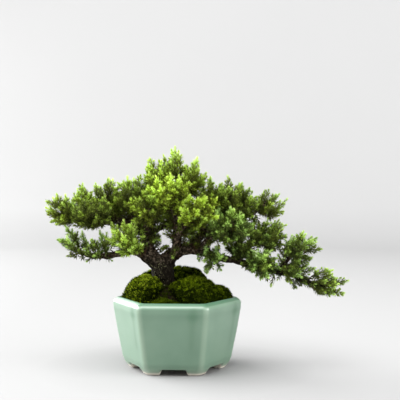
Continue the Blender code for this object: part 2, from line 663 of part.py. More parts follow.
# ---------------------------------------------------------------- soil and moss
def make_soil(cutters):
    """The root ball: a block that fills the pot, with a mound on top and room for roots and screen."""
    inset = FIT / ROOT2
    cove = 3 * MM
    bottom = FLOOR_TOP + FIT
    profile = [
        (0, SOIL_EDGE),
        (INNER_RADIUS - 6 * MM, SOIL_EDGE),
        (INNER_RADIUS - 3.2 * MM, SOIL_EDGE - 0.9 * MM),
        (INNER_RADIUS - 1.6 * MM - inset, SOIL_EDGE - 2.8 * MM),
        *reversed(arc(INNER_BASE_RADIUS - cove - inset, FLOOR_TOP + cove + FIT, cove, -90, -8, 3)),
        (0, bottom),
    ]
    soil = hexagonal_body("root_ball_soil", profile, SOIL)
    mound = mound_shape("soil_mound", 0)
    below = box_cutter(
        "mound_below",
        (-POT_RADIUS, -POT_RADIUS, -POT_HEIGHT),
        (POT_RADIUS, POT_RADIUS, SOIL_EDGE - MOUND_SINK - MOUND_ROOT),
    )
    combine(mound, [below], "DIFFERENCE")
    combine(soil, [mound], "UNION")
    room = SCREEN_SIDE / 2 + 0.5 * MM
    depth = FIT + SCREEN_THICKNESS + FIT + 2 * CLIP_WIRE + 2 * FIT
    pocket = box_cutter(
        "screen_pocket", (-room, -room, FLOOR_TOP - 1 * MM), (room, room, FLOOR_TOP + depth)
    )
    combine(soil, [pocket, *touching(soil, cutters)], "DIFFERENCE")
    discard([mound, below, pocket])
    return soil


def make_moss(cutters):
    """Cushions that lie on the soil's mound, round the trunk, and roll over to the rim."""
    share = Vector((INNER_RADIUS, INNER_RADIUS, MM))
    turn = Matrix.Rotation(TREE_TURN, 3, "Z")
    level = Vector((0, 0, SOIL_EDGE))
    masses = {
        name: (turn @ (Vector(centre) * share) + level, Vector(radii) * share)
        for name, (centre, radii) in MOSS.items()
    }
    mound = mound_shape("mound_under_moss", MOSS_FIT)
    rings = [(INNER_RADIUS - inwards * MM, SOIL_EDGE + up * MM) for inwards, up in MOSS_DOME]
    low, high = rings[0][1], rings[-1][1]
    dome = hexagonal_body("moss_dome", [(0, low), *rings, (0, high + 2 * MM)], None, CUTTERS)
    floor = (Vector((0, 0, SOIL_EDGE + FIT)), Vector((0, 0, -1)))
    for name, (centre, radii) in masses.items():
        planes = [*planes_between(name, masses), floor]
        obj = lumpy_mass(f"moss_{name}", centre, radii, 0, planes, MOSS_GREEN, 0.06)
        combine(obj, [dome], "INTERSECT")
        combine(obj, [mound, *touching(obj, cutters)], "DIFFERENCE")
    discard([mound, dome])


# ---------------------------------------------------------------- the whole
def stand_at_origin():
    """Hangs every piece on one empty, set so that the whole stands centred on the world's origin."""
    bpy.context.view_layer.update()
    lows, highs = zip(*(bounds(obj) for obj in PARTS.objects))
    middle = [(min(p[i] for p in lows) + max(p[i] for p in highs)) / 2 for i in range(2)]
    base = bpy.data.objects.new("bonsai_origin", None)
    PARTS.objects.link(base)
    for obj in PARTS.objects:
        if obj is not base:
            obj.parent = base
    base.location = (-middle[0], -middle[1], 0)


def main():
    make_pot()
    make_drain_screen()
    make_screen_clip()
    make_wood()
    cutters = make_wood_cutters()
    make_soil(cutters)
    make_moss(cutters)
    make_sprays(cutters)
    discard(cutters)
    stand_at_origin()


main()
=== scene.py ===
"""The looks of a juniper bonsai in a six-sided celadon pot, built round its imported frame.

The pot, the wood, the moss and every spray of needles are remade here in fine mesh, each in the space
that its own node holds. Lengths are in metres, and MM turns millimetres into them.
"""

import math

import bpy
import numpy as np
from mathutils import Matrix, Vector, noise
from mathutils.bvhtree import BVHTree
from mathutils.kdtree import KDTree


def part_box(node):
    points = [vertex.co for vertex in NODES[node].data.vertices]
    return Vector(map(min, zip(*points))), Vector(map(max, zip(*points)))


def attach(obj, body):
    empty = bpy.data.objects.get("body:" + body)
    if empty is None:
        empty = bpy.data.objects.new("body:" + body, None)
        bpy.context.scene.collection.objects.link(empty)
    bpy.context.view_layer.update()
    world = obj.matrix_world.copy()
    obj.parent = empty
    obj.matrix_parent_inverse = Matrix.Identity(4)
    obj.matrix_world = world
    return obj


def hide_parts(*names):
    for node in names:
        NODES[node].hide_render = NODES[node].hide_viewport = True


MM = 0.001
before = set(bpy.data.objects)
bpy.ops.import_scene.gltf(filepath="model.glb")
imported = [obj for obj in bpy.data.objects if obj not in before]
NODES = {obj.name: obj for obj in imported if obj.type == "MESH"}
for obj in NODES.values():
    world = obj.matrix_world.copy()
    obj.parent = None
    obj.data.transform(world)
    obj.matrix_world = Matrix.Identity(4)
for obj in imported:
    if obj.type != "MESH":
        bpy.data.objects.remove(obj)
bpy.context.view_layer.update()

# ---- places taken from the frame
POT_LOW, POT_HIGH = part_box("pot")
AXIS = Vector(((POT_LOW.x + POT_HIGH.x) / 2, (POT_LOW.y + POT_HIGH.y) / 2, 0))
VIEW_TURN = math.radians(2.8)  # how far the viewer stands round from the pot's front face


def from_view(x, y, z):
    """A point in metres from one in millimetres, measured from the pot's axis as the viewer sees it."""
    return AXIS + Matrix.Rotation(VIEW_TURN, 3, "Z") @ (Vector((x, y, z)) * MM)


# ---- shader helpers
MIX_COLOURS = (6, 7)  # the inputs of a mix node that take its two colours
MIX_RESULT = 2


def grey(value):
    return (value, value, value)


class Shader:
    """A material's node tree, with short calls for the nodes that are used here."""

    def __init__(self, name):
        self.material = bpy.data.materials.new(name)
        self.material.use_nodes = True
        self.tree = self.material.node_tree
        self.surface = self.tree.nodes["Principled BSDF"]

    def node(self, kind, **settings):
        made = self.tree.nodes.new(kind)
        for key, value in settings.items():
            setattr(made, key, value)
        return made

    def link(self, source, target):
        self.tree.links.new(source, target)

    def set(self, **values):
        for key, value in values.items():
            self.surface.inputs[key.replace("_", " ")].default_value = value

    def feed(self, socket, source):
        self.link(source, self.surface.inputs[socket])

    def attribute(self, name):
        return self.node("ShaderNodeAttribute", attribute_name=name).outputs["Fac"]

    def place(self):
        return self.node("ShaderNodeTexCoord").outputs["Object"]

    def split(self, vector):
        """A vector's three numbers, by the names X, Y and Z."""
        made = self.node("ShaderNodeSeparateXYZ")
        self.link(vector, made.inputs["Vector"])
        return made.outputs

    def texture(self, kind, output, **values):
        made = self.node(kind)
        for key, value in values.items():
            made.inputs[key].default_value = value
        self.link(self.place(), made.inputs["Vector"])
        return made.outputs[output]

    def noise(self, scale, detail=4.0, roughness=0.55):
        return self.texture("ShaderNodeTexNoise", "Fac", Scale=scale, Detail=detail, Roughness=roughness)

    def cells(self, scale):
        """The distance to the middle of the nearest cell, for grains."""
        return self.texture("ShaderNodeTexVoronoi", "Distance", Scale=scale)

    def ramp(self, factor, stops):
        """A colour ramp. stops are (position, colour) pairs."""
        made = self.node("ShaderNodeValToRGB")
        elements = made.color_ramp.elements
        while len(elements) < len(stops):
            elements.new(0.5)
        for element, (position, colour) in zip(elements, stops):
            element.position = position
            element.color = (*colour, 1)
        self.link(factor, made.inputs["Fac"])
        return made.outputs["Color"]

    def mix(self, factor, a, b):
        """A colour mix. a and b are sockets or colours."""
        made = self.node("ShaderNodeMix", data_type="RGBA")
        self.link(factor, made.inputs["Factor"])
        for index, value in zip(MIX_COLOURS, (a, b)):
            if hasattr(value, "links"):
                self.link(value, made.inputs[index])
            else:
                made.inputs[index].default_value = (*value, 1)
        return made.outputs[MIX_RESULT]

    def range(self, value, low, high, to_low=0.0, to_high=1.0):
        """A number moved from one range to another, and held inside it."""
        made = self.node("ShaderNodeMapRange")
        for key, number in (("From Min", low), ("From Max", high), ("To Min", to_low), ("To Max", to_high)):
            made.inputs[key].default_value = number
        self.link(value, made.inputs["Value"])
        return made.outputs["Result"]

    def maths(self, operation, a, b):
        made = self.node("ShaderNodeMath", operation=operation)
        self.link(a, made.inputs[0])
        self.link(b, made.inputs[1])
        return made.outputs[0]

    def vector_maths(self, operation, vector, other):
        """A number from a vector that changes over the surface and one that doesn't."""
        made = self.node("ShaderNodeVectorMath", operation=operation)
        self.link(vector, made.inputs[0])
        made.inputs[1].default_value = other
        return made.outputs["Value"]

    def add(self, a, b):
        return self.maths("ADD", a, b)

    def times(self, a, b):
        return self.maths("MULTIPLY", a, b)

    def bump(self, height, strength, distance):
        made = self.node("ShaderNodeBump")
        made.inputs["Strength"].default_value = strength
        made.inputs["Distance"].default_value = distance
        self.link(height, made.inputs["Height"])
        self.feed("Normal", made.outputs["Normal"])


# ---- materials
SHADOW = (0.004, 0.003, 0.001)
FLOOR_GLOW = 0.19  # of the floor away from the pot
WALL_GLOW = 0.14  # of the backdrop from 0.9 m up
UNLIT_GLOW = 0.35  # of the backdrop behind the key softbox, which sends no light back there
KEY_FACING = (0.826, -0.455, -0.329)  # the direction that the key softbox shines in


def glaze_material():
    """Celadon over pale clay: thin and light on ridges, deep on the flats, bare under the feet, with painted
    shade on the rim and darker bands on the walls.
    """
    s = Shader("celadon_glaze")
    depth = s.range(s.noise(38, 2, 0.5), 0.3, 0.7)
    even = s.mix(depth, (0.098, 0.192, 0.121), (0.127, 0.223, 0.147))
    # Painted shade: this mask darkens the glaze on the rim's top and inner slope, and also holds darker bands
    # beside each corner and below the lip.
    glaze_with_painted_shade = s.mix(s.attribute("painted_shade_and_bands"), even, (0.060, 0.140, 0.080))
    colour = s.mix(s.attribute("thin"), glaze_with_painted_shade, (0.42, 0.51, 0.39))
    clay = s.mix(s.noise(900, 3), (0.66, 0.61, 0.50), (0.76, 0.72, 0.62))
    s.feed("Base Color", s.mix(s.attribute("bare"), colour, clay))
    s.feed("Roughness", s.range(s.attribute("bare"), 0, 1, 0.42, 0.8))
    s.feed("Specular IOR Level", s.range(s.attribute("painted_shade_and_bands"), 0.3, 1.0, 0.85, 0.25))
    s.feed("Coat Weight", s.range(s.attribute("painted_shade_and_bands"), 0.3, 0.8, 0.6, 0.0))
    s.bump(s.noise(55, 2, 0.4), 0.06, 1 * MM)
    s.set(IOR=1.5, Coat_Roughness=0.34)
    return s.material


def uv_pair(s):
    """The two coordinates of the map that carries each leaf's hue and brightness."""
    split = s.split(s.node("ShaderNodeUVMap", uv_map="OFBake").outputs["UV"])
    return split["X"], split["Y"]


def needle_material():
    """Juniper needles: along X from yellow-green by blue-green to dead brown, along Y from old and shaded to
    young and lit, so that Y holds painted light and shade as well as ageing.
    """
    s = Shader("juniper_needles")
    hue, youth_and_light = uv_pair(s)
    yellow = s.ramp(youth_and_light, [
        (0.0, (0.022, 0.018, 0.004)),
        (0.25, (0.140, 0.170, 0.014)),
        (0.5, (0.400, 0.570, 0.044)),
        (0.75, (0.600, 0.800, 0.100)),
        (1.0, (0.660, 0.830, 0.190)),
    ])
    blue = s.ramp(youth_and_light, [
        (0.0, (0.018, 0.018, 0.006)),
        (0.25, (0.095, 0.148, 0.034)),
        (0.5, (0.270, 0.470, 0.110)),
        (0.75, (0.480, 0.700, 0.220)),
        (1.0, (0.580, 0.780, 0.310)),
    ])
    brown = s.ramp(youth_and_light, [
        (0.0, (0.020, 0.010, 0.005)),
        (0.6, (0.10, 0.055, 0.025)),
        (1.0, (0.24, 0.14, 0.06)),
    ])
    living = s.mix(s.range(hue, 0.0, 0.75), yellow, blue)
    s.feed("Base Color", s.mix(s.range(hue, 0.86, 0.94), living, brown))
    s.set(Roughness=0.55, Specular_IOR_Level=0.08)
    return s.material


def moss_material():
    """Cushion moss: near black between the stems, which is painted shade, and yellow-green at the leaves'
    tips. Along Y its brightness also holds painted light on tufts that face the lights and painted shade on
    shaded cushions.
    """
    s = Shader("cushion_moss")
    hue, height = uv_pair(s)
    fresh = s.ramp(height, [
        (0.0, (0.005, 0.009, 0.001)),
        (0.35, (0.050, 0.078, 0.002)),
        (0.7, (0.260, 0.360, 0.010)),
        (1.0, (0.760, 0.900, 0.080)),
    ])
    dull = s.ramp(height, [
        (0.0, (0.005, 0.007, 0.001)),
        (0.35, (0.030, 0.042, 0.002)),
        (0.7, (0.140, 0.185, 0.010)),
        (1.0, (0.480, 0.560, 0.070)),
    ])
    s.feed("Base Color", s.mix(hue, fresh, dull))
    s.set(Roughness=0.9, Specular_IOR_Level=0.0)
    return s.material


def bark_material():
    """Old juniper bark: near black in the cracks, brown and grey on the flakes, with painted shade low on the
    trunk and pale green specks of lichens, more of them on the lit left side as painted highlight.
    """
    s = Shader("juniper_bark")
    flakes = s.noise(420, 6, 0.62)
    patches = s.noise(95, 3, 0.5)
    weathered = s.ramp(flakes, [
        (0.36, (0.003, 0.002, 0.001)),
        (0.50, (0.032, 0.023, 0.015)),
        (0.60, (0.140, 0.108, 0.075)),
        (0.72, (0.360, 0.300, 0.220)),
    ])
    ruddy = s.ramp(flakes, [
        (0.38, (0.003, 0.001, 0.001)),
        (0.60, (0.045, 0.024, 0.012)),
        (0.74, (0.170, 0.100, 0.055)),
    ])
    dry = s.mix(s.range(patches, 0.46, 0.62), weathered, ruddy)
    # Painted shade: the trunk darkens to near black low down, under the crown.
    shaded = s.mix(s.range(s.attribute("trunk_shade"), 0, 0.5, 0.0, 0.93), dry, SHADOW)
    speck = s.ramp(s.noise(700, 2, 0.5), [(0.60, grey(0.0)), (0.68, grey(1.0))])
    # Pale green specks of lichens; the mask sets more of them on the trunk's lit left side, as painted
    # highlight.
    lichen_and_highlight = s.mix(s.noise(300, 2), (0.075, 0.085, 0.022), (0.22, 0.21, 0.13))
    s.feed("Base Color", s.mix(s.times(s.attribute("lichen_and_highlight"), speck), shaded, lichen_and_highlight))
    s.feed("Roughness", s.range(flakes, 0.3, 0.7, 0.95, 0.7))
    s.bump(flakes, 0.6, 0.5 * MM)
    s.set(Specular_IOR_Level=0.08)
    return s.material


def twig_material():
    """Young brown bark on the fine twigs."""
    s = Shader("juniper_twigs")
    grain = s.noise(600, 4, 0.6)
    s.feed("Base Color", s.ramp(grain, [
        (0.32, (0.012, 0.007, 0.004)),
        (0.55, (0.060, 0.035, 0.020)),
        (0.75, (0.160, 0.105, 0.065)),
    ]))
    s.feed("Roughness", s.range(grain, 0.3, 0.7, 0.9, 0.7))
    s.bump(grain, 0.4, 0.3 * MM)
    s.set(Specular_IOR_Level=0.25)
    return s.material


def soil_material():
    """Baked clay grit, coloured near black: painted shade under the tree."""
    s = Shader("akadama_soil")
    grains = s.cells(420)
    tint = s.noise(300, 3)
    colour = s.mix(tint, (0.004, 0.003, 0.002), (0.020, 0.013, 0.008))
    s.feed("Base Color", s.mix(s.range(grains, 0.2, 0.8), colour, (0.008, 0.005, 0.003)))
    s.feed("Roughness", s.range(tint, 0.3, 0.7, 0.98, 0.85))
    s.bump(s.range(grains, 0, 1, 1, 0), 0.9, 1 * MM)
    s.set(Specular_IOR_Level=0.05)
    return s.material


def plastic_material():
    """Black plastic of the mesh over the drain hole, a little worn."""
    s = Shader("screen_plastic")
    wear = s.noise(500, 3)
    s.feed("Base Color", s.mix(wear, (0.012, 0.013, 0.012), (0.035, 0.036, 0.034)))
    s.feed("Roughness", s.range(wear, 0.3, 0.7, 0.42, 0.62))
    return s.material


def wire_material():
    """Dulled aluminium wire of the mesh's clip."""
    s = Shader("clip_wire")
    dulled = s.noise(700, 3)
    s.feed("Base Color", s.mix(dulled, (0.40, 0.36, 0.32), (0.58, 0.54, 0.50)))
    s.feed("Roughness", s.range(dulled, 0.3, 0.7, 0.28, 0.5))
    s.set(Metallic=1.0)
    return s.material


def floor_material():
    """Pale and matt. Away from the pot it shines a little by itself, which keeps the shadows light."""
    s = Shader("studio_floor")
    split = s.split(s.place())
    upright = s.mix(s.noise(3, 2), grey(0.245), grey(0.255))
    # Painted shade: the level floor is darker to the left, towards the key softbox, which lights it strongly.
    level = s.mix(s.range(split["X"], -0.25, 0.1), grey(0.200), grey(0.230))
    s.feed("Base Color", s.mix(s.range(split["Z"], 0.0, 0.1), level, upright))
    floor = s.range(s.vector_maths("DISTANCE", s.place(), AXIS), 0.03, 0.13, 0.0, FLOOR_GLOW)
    floor_side = s.range(split["X"], -1.0, 0.8, 0.35, 1.05)
    wall = s.range(split["Z"], 0.0, 0.9, 0.0, WALL_GLOW)
    wall_side = s.range(split["X"], -1.0, 0.8, 2.4, 1.05)
    unlit = s.range(s.vector_maths("DOT_PRODUCT", s.place(), KEY_FACING), -2.0, -2.3, 0.0, UNLIT_GLOW)
    s.feed("Emission Strength", s.add(s.add(s.times(floor, floor_side), s.times(wall, wall_side)), unlit))
    s.set(Roughness=0.7, Specular_IOR_Level=0.2, Emission_Color=(1, 1, 1, 1))
    return s.material


# ---- mesh helpers
def add_object(name, data):
    obj = bpy.data.objects.new(name, data)
    bpy.context.scene.collection.objects.link(obj)
    return obj


def object_from_arrays(name, points, faces, material, uv=None, attributes=None, smooth=True):
    """An object from numpy arrays: points (n, 3), faces (m, 3 or 4), a uv pair and attributes per point."""
    mesh = bpy.data.meshes.new(name)
    count, sides = faces.shape
    mesh.vertices.add(len(points))
    mesh.vertices.foreach_set("co", np.ascontiguousarray(points, np.float32).ravel())
    mesh.loops.add(count * sides)
    mesh.loops.foreach_set("vertex_index", faces.astype(np.int32).ravel())
    mesh.polygons.add(count)
    mesh.polygons.foreach_set("loop_start", np.arange(count, dtype=np.int32) * sides)
    mesh.polygons.foreach_set("use_smooth", np.full(count, smooth))
    mesh.update(calc_edges=True)
    if uv is not None:
        layer = mesh.uv_layers.new(name="OFBake")
        layer.uv.foreach_set("vector", np.ascontiguousarray(uv[faces.ravel()], np.float32).ravel())
    for key, values in (attributes or {}).items():
        made = mesh.attributes.new(key, "FLOAT", "POINT")
        made.data.foreach_set("value", np.ascontiguousarray(values, np.float32))
    mesh.materials.append(material)
    return add_object(name, mesh)


def place_piece(obj, slot, *nodes):
    """Hands a finished piece to the frame, in place of its nodes."""
    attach(obj, "root")
    if nodes:
        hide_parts(*nodes)


def vertex_rows(mesh, key):
    """A mesh's points ("co") or its points' normals ("normal"), one row each."""
    values = np.empty(len(mesh.vertices) * 3, np.float32)
    mesh.vertices.foreach_get(key, values)
    return values.reshape(-1, 3).astype(float)


def node_arrays(name):
    """A node's points and its faces cut into triangles."""
    mesh = NODES[name].data
    mesh.calc_loop_triangles()
    triangles = np.empty(len(mesh.loop_triangles) * 3, np.int32)
    mesh.loop_triangles.foreach_get("vertices", triangles)
    return vertex_rows(mesh, "co"), triangles.reshape(-1, 3)


def surface_tree(name):
    points, triangles = node_arrays(name)
    return BVHTree.FromPolygons([tuple(p) for p in points], [tuple(t) for t in triangles])


def point_tree(points):
    tree = KDTree(len(points))
    for index, point in enumerate(points):
        tree.insert(point, index)
    tree.balance()
    return tree


def triangle_sides(points, triangles):
    """The triangles' corners, and the cross product of two sides of each: its normal times twice its area."""
    corners = points[triangles]
    return corners, np.cross(corners[:, 1] - corners[:, 0], corners[:, 2] - corners[:, 0])


def scatter(rng, corners, share, count):
    """Random spots on triangles. Returns each spot's triangle, its weights for the corners, and its place."""
    chosen = rng.choice(len(corners), count, p=share / share.sum())
    weights = rng.dirichlet((1, 1, 1), count)
    return chosen, weights, np.einsum("ij,ijk->ik", weights, corners[chosen])


def remeshed(name, source_points, source_faces, voxel):
    """Points, faces and normals of a closed surface, made even with voxels of one size."""
    raw = object_from_arrays(name, source_points, source_faces, None)
    even = raw.modifiers.new("even", "REMESH")
    even.mode = "VOXEL"
    even.voxel_size = voxel
    even.adaptivity = 0
    soft = raw.modifiers.new("soft", "SMOOTH")
    soft.factor = 0.5
    soft.iterations = 2
    bpy.context.view_layer.update()
    graph = bpy.context.evaluated_depsgraph_get()
    mesh = bpy.data.meshes.new_from_object(raw.evaluated_get(graph))
    bpy.data.objects.remove(raw, do_unlink=True)
    points, normals = vertex_rows(mesh, "co"), vertex_rows(mesh, "normal")
    faces = np.array([p.vertices[:] for p in mesh.polygons if len(p.vertices) == 4], np.int32)
    bpy.data.meshes.remove(mesh)
    return points, faces, normals


def unit(vectors):
    length = np.linalg.norm(vectors, axis=-1, keepdims=True)
    return vectors / np.maximum(length, 1e-12)


def smoothstep(value, low, high):
    """0 at low, 1 at high and a soft change between, whichever of them is larger."""
    t = np.clip((value - low) / (high - low), 0, 1)
    return t * t * (3 - 2 * t)


def square_to(tangents, guide):
    """Two directions for each tangent, square to it and to each other. The guide lies near none of them."""
    across = unit(np.cross(tangents, guide))
    return across, np.cross(tangents, across)


def bowed_line(start, middle, end, count):
    """Points on a bow from start to end that leans towards the middle."""
    t = np.linspace(0, 1, count)[:, None]
    return (1 - t) ** 2 * start + 2 * t * (1 - t) * middle + t**2 * end


def ring_faces(rows, count):
    """The faces between closed rings of points that follow one another."""
    ring = np.arange(count)
    start = np.arange(rows - 1)[:, None] * count
    a, b = start + ring, start + (ring + 1) % count
    return np.stack([a, a + count, b + count, b], -1).reshape(-1, 4)


def tube_arrays(line, radii, sides):
    """A closed tube along a line of points. Returns its points and its triangles."""
    line = np.asarray(line)
    tangents = unit(np.gradient(line, axis=0))
    across, beside = square_to(tangents, (0.31, 0.87, 0.38))
    angles = np.linspace(0, 2 * np.pi, sides, endpoint=False)
    ring = np.cos(angles)[None, :, None] * across[:, None] + np.sin(angles)[None, :, None] * beside[:, None]
    points = line[:, None] + ring * np.asarray(radii)[:, None, None]
    skin = ring_faces(len(line), sides)[:, [0, 3, 2, 0, 2, 1]].reshape(-1, 3)
    last = (len(line) - 1) * sides
    caps = []
    for j in range(1, sides - 1):
        caps += [(0, j + 1, j), (last, last + j, last + j + 1)]
    return points.reshape(-1, 3), np.concatenate([skin, caps])


class Batch:
    """Gathers many small meshes into one."""

    def __init__(self):
        self.points, self.faces, self.uv = [], [], []
        self.count = 0

    def add(self, points, faces, uv=None):
        self.points.append(points)
        self.faces.append(faces + self.count)
        if uv is not None:
            self.uv.append(uv)
        self.count += len(points)

    def build(self, name, material, smooth=True):
        points, faces = np.concatenate(self.points), np.concatenate(self.faces)
        uv = np.concatenate(self.uv) if self.uv else None
        return object_from_arrays(name, points, faces, material, uv, smooth=smooth)


# ---- pot
CORNER_ROUNDING = 7 * MM
APOTHEM = math.sqrt(3) / 2  # of a hexagon, as a share of its corner radius
POT_RADIUS = (POT_HIGH.x - POT_LOW.x) / 2 + CORNER_ROUNDING * (1 / APOTHEM - 1)
POT_HEIGHT = POT_HIGH.z
WALL = 6 * MM
BASE_RADIUS = 51 * MM
FOOT_HEIGHT = 6 * MM
HOLE_RADIUS = 7 * MM
LIP_DROP = 3.2 * MM  # from the rim's top to the lip's outermost line
CORNER_STEPS = 12  # round each upright corner
SIDE_STEPS = 58  # along each straight side
BEND_STEPS = 5  # round each corner of the section
DARK_BAND_PLACE = 0.84  # share of each side where a darker band runs down the wall
DARK_BAND_WIDTH = 0.11


def rounded_section(corners, radius, spacing):
    """A section's line with its corners rounded and its straight stretches cut to a spacing."""
    line = [corners[0]]
    for before, corner, after in zip(corners, corners[1:], corners[2:]):
        p, q, r = (Vector(point) for point in (before, corner, after))
        inward = (p - q).normalized()
        outward = (r - q).normalized()
        cut = min(radius, 0.45 * (p - q).length, 0.45 * (r - q).length)
        for i in range(BEND_STEPS + 1):
            t = i / BEND_STEPS
            start = q + inward * cut * (1 - t)
            end = q + outward * cut * t
            line.append(tuple(start.lerp(end, t)))
    line.append(corners[-1])
    fine = []
    for a, b in zip(line, line[1:]):
        steps = max(1, round((Vector(b) - Vector(a)).length / spacing))
        fine += [tuple(Vector(a).lerp(Vector(b), i / steps)) for i in range(steps)]
    return [*fine, line[-1]]


def pot_section():
    """(corner radius, z) from the inner floor up, over the lip, down to the foot and in to the drain hole."""
    wall = WALL / APOTHEM
    inner = POT_RADIUS - wall - 1 * MM
    inner_base = BASE_RADIUS - wall
    floor = FOOT_HEIGHT + WALL
    lip = POT_HEIGHT - LIP_DROP
    foot = BASE_RADIUS - 5.5 * MM
    corners = [
        (inner_base - 2 * MM, floor),
        (inner_base + 0.5 * MM, floor + 3 * MM),
        (inner - 0.5 * MM, POT_HEIGHT - 8 * MM),
        (inner + 0.3 * MM, POT_HEIGHT - 1.4 * MM),
        (inner + 1.8 * MM, POT_HEIGHT),
        (inner + 3.4 * MM, POT_HEIGHT),
        (POT_RADIUS - 1.4 * MM, lip + 1.1 * MM),
        (POT_RADIUS + 0.1 * MM, lip - 1.2 * MM),
        (POT_RADIUS - 0.2 * MM, lip - 6 * MM),
        (0.5 * (POT_RADIUS + BASE_RADIUS) + 0.9 * MM, 0.5 * lip + 3 * MM),
        (BASE_RADIUS + 1.1 * MM, FOOT_HEIGHT + 4.5 * MM),
        (BASE_RADIUS - 0.8 * MM, FOOT_HEIGHT - 0.4 * MM),
        (foot + 1.3 * MM, 1.6 * MM),
        (foot - 0.3 * MM, 0),
        (foot - 7.4 * MM, 0),
        (foot - 8.3 * MM, 1.6 * MM),
        (foot - 9.4 * MM, FOOT_HEIGHT - 1 * MM),
        (foot - 11 * MM, FOOT_HEIGHT),
        (HOLE_RADIUS, FOOT_HEIGHT),
        (HOLE_RADIUS, floor),
    ]
    return [*rounded_section(corners, 1.3 * MM, 1.6 * MM), (HOLE_RADIUS + 6 * MM, floor)]


def pot_columns():
    """The upright lines round the pot: (corner, whether on its rounding, share of the rounding or side)."""
    columns = []
    for corner in range(6):
        columns += [(corner, True, (i + 0.5) / CORNER_STEPS) for i in range(CORNER_STEPS)]
        columns += [(corner, False, (i + 0.5) / SIDE_STEPS) for i in range(SIDE_STEPS)]
    return columns


def hexagon_point(radius, corner, rounded, share):
    """(x, y) on a hexagon with rounded corners and one corner radius."""
    rounding = min(CORNER_ROUNDING, 0.35 * radius)
    centre = radius - rounding / APOTHEM
    turn = math.radians(60 * corner)
    start = (centre * math.cos(turn), centre * math.sin(turn))
    if rounded:
        angle = turn + math.radians(-30 + 60 * share)
        return start[0] + rounding * math.cos(angle), start[1] + rounding * math.sin(angle)
    following = math.radians(60 * (corner + 1))
    end = (centre * math.cos(following), centre * math.sin(following))
    out = turn + math.radians(30)
    x = start[0] + (end[0] - start[0]) * share + rounding * math.cos(out)
    y = start[1] + (end[1] - start[1]) * share + rounding * math.sin(out)
    return x, y


def lift_arches(points):
    """Raises the foot ring between the feet, so that six corner feet are left."""
    half, slope, top = 13.3 * MM, 3.4 * MM, 5.6 * MM
    x, y, z = points[..., 0], points[..., 1], points[..., 2]
    angle = np.arctan2(y, x)
    middle = (np.floor(angle / (np.pi / 3)) + 0.5) * (np.pi / 3)
    along = np.abs(-np.sin(middle) * x + np.cos(middle) * y)
    lift = top * (1 - smoothstep(along, half - slope, half))
    below = z < FOOT_HEIGHT
    z[below] += (lift * (1 - z / FOOT_HEIGHT))[below]


def glaze_masks(section, columns):
    """Where the glaze is thin on edges, where painted shade and darker bands darken it, and where the clay is
    bare, for every point.
    """
    radius, level = (np.array(column)[:, None] for column in zip(*section))
    ridge = np.array([math.sin(math.pi * t) ** 0.7 if rounded else 0.0 for _, rounded, t in columns])[None, :]
    beside = [
        0.0 if rounded else math.exp(-(((t - DARK_BAND_PLACE) / DARK_BAND_WIDTH) ** 2)) for _, rounded, t in columns
    ]
    lip = POT_HEIGHT - LIP_DROP
    outer = (np.arange(len(section)) > np.argmax(level[:, 0]))[:, None]
    outer_wall = outer & (level < lip)

    lip_edge = 0.04 * np.exp(-(((level - lip) / (2.2 * MM)) ** 2)) * outer
    foot_edge = 0.35 * smoothstep(FOOT_HEIGHT * 1.4 - level, 0, FOOT_HEIGHT) * outer
    thin = lip_edge + 0.22 * ridge * outer_wall + foot_edge

    # A darker band near one end of each side.
    beside_ridges = 0.42 * np.array(beside)[None, :] * outer_wall * smoothstep(level, 4 * MM, 30 * MM)
    # Painted shade on the rim: its inner slope and its top are darkened.
    inner_slope = smoothstep(radius, 58.5 * MM, 57 * MM) * (level > POT_HEIGHT - 6 * MM)
    lip_top = 0.9 * smoothstep(level, lip, POT_HEIGHT - 1.6 * MM) * (1 - inner_slope)
    # A darker band below the lip.
    under_lip = 0.26 * np.exp(-(((level - lip + 8 * MM) / (4 * MM)) ** 2)) * outer
    painted_shade_and_bands = beside_ridges + 0.95 * inner_slope + lip_top + under_lip

    underneath = (radius < 44.6 * MM) & (level < FOOT_HEIGHT + 0.5 * MM) & outer
    foot_line = smoothstep(2.3 * MM - level, -0.5 * MM, 0.4 * MM) * outer
    bare = np.maximum(underneath, foot_line)

    shape = (len(section), len(columns))
    masks = {"thin": thin, "painted_shade_and_bands": painted_shade_and_bands, "bare": bare}
    return {name: np.clip(np.broadcast_to(mask, shape), 0, 1).ravel() for name, mask in masks.items()}


def make_pot(material):
    """The pot's skin, as rings round its axis. Most of the inner floor, under the soil, stays open."""
    section, columns = pot_section(), pot_columns()
    points = np.array([[(*hexagon_point(radius, *column), z) for column in columns] for radius, z in section])
    lift_arches(points)
    faces = ring_faces(len(section), len(columns))
    placed = points.reshape(-1, 3) + np.array(AXIS)
    pot = object_from_arrays("pot_body", placed, faces, material, attributes=glaze_masks(section, columns))
    place_piece(pot, "celadon_glaze", "pot")


# ---- wood
STUBS = 26
NEIGHBOURS = 26  # triangles that tell a limb's direction
WOOD_SEED = 11
WOOD_VOXEL = 0.62 * MM


def vary(points, scale, seed):
    """Smooth noise at many points."""
    shift = Vector((seed * 7.3, seed * 3.1, seed * 5.7))
    return np.array([noise.noise(Vector(p) * scale + shift) for p in points])


def limb_directions(points, triangles, at):
    """The direction that the limb runs in near each of many points: the one that its normals leave out."""
    corners, cross = triangle_sides(points, triangles)
    area = np.linalg.norm(cross, axis=1)
    keep = area > 1e-12
    area = area[keep]
    normals = cross[keep] / area[:, None]
    tree = point_tree(corners.mean(axis=1)[keep])
    directions = np.empty_like(at)
    for i, p in enumerate(at):
        near = [found[1] for found in tree.find_n(p, NEIGHBOURS)]
        n = normals[near] * area[near, None] ** 0.5
        _, vectors = np.linalg.eigh(n.T @ n)
        directions[i] = vectors[:, 0]
    return directions


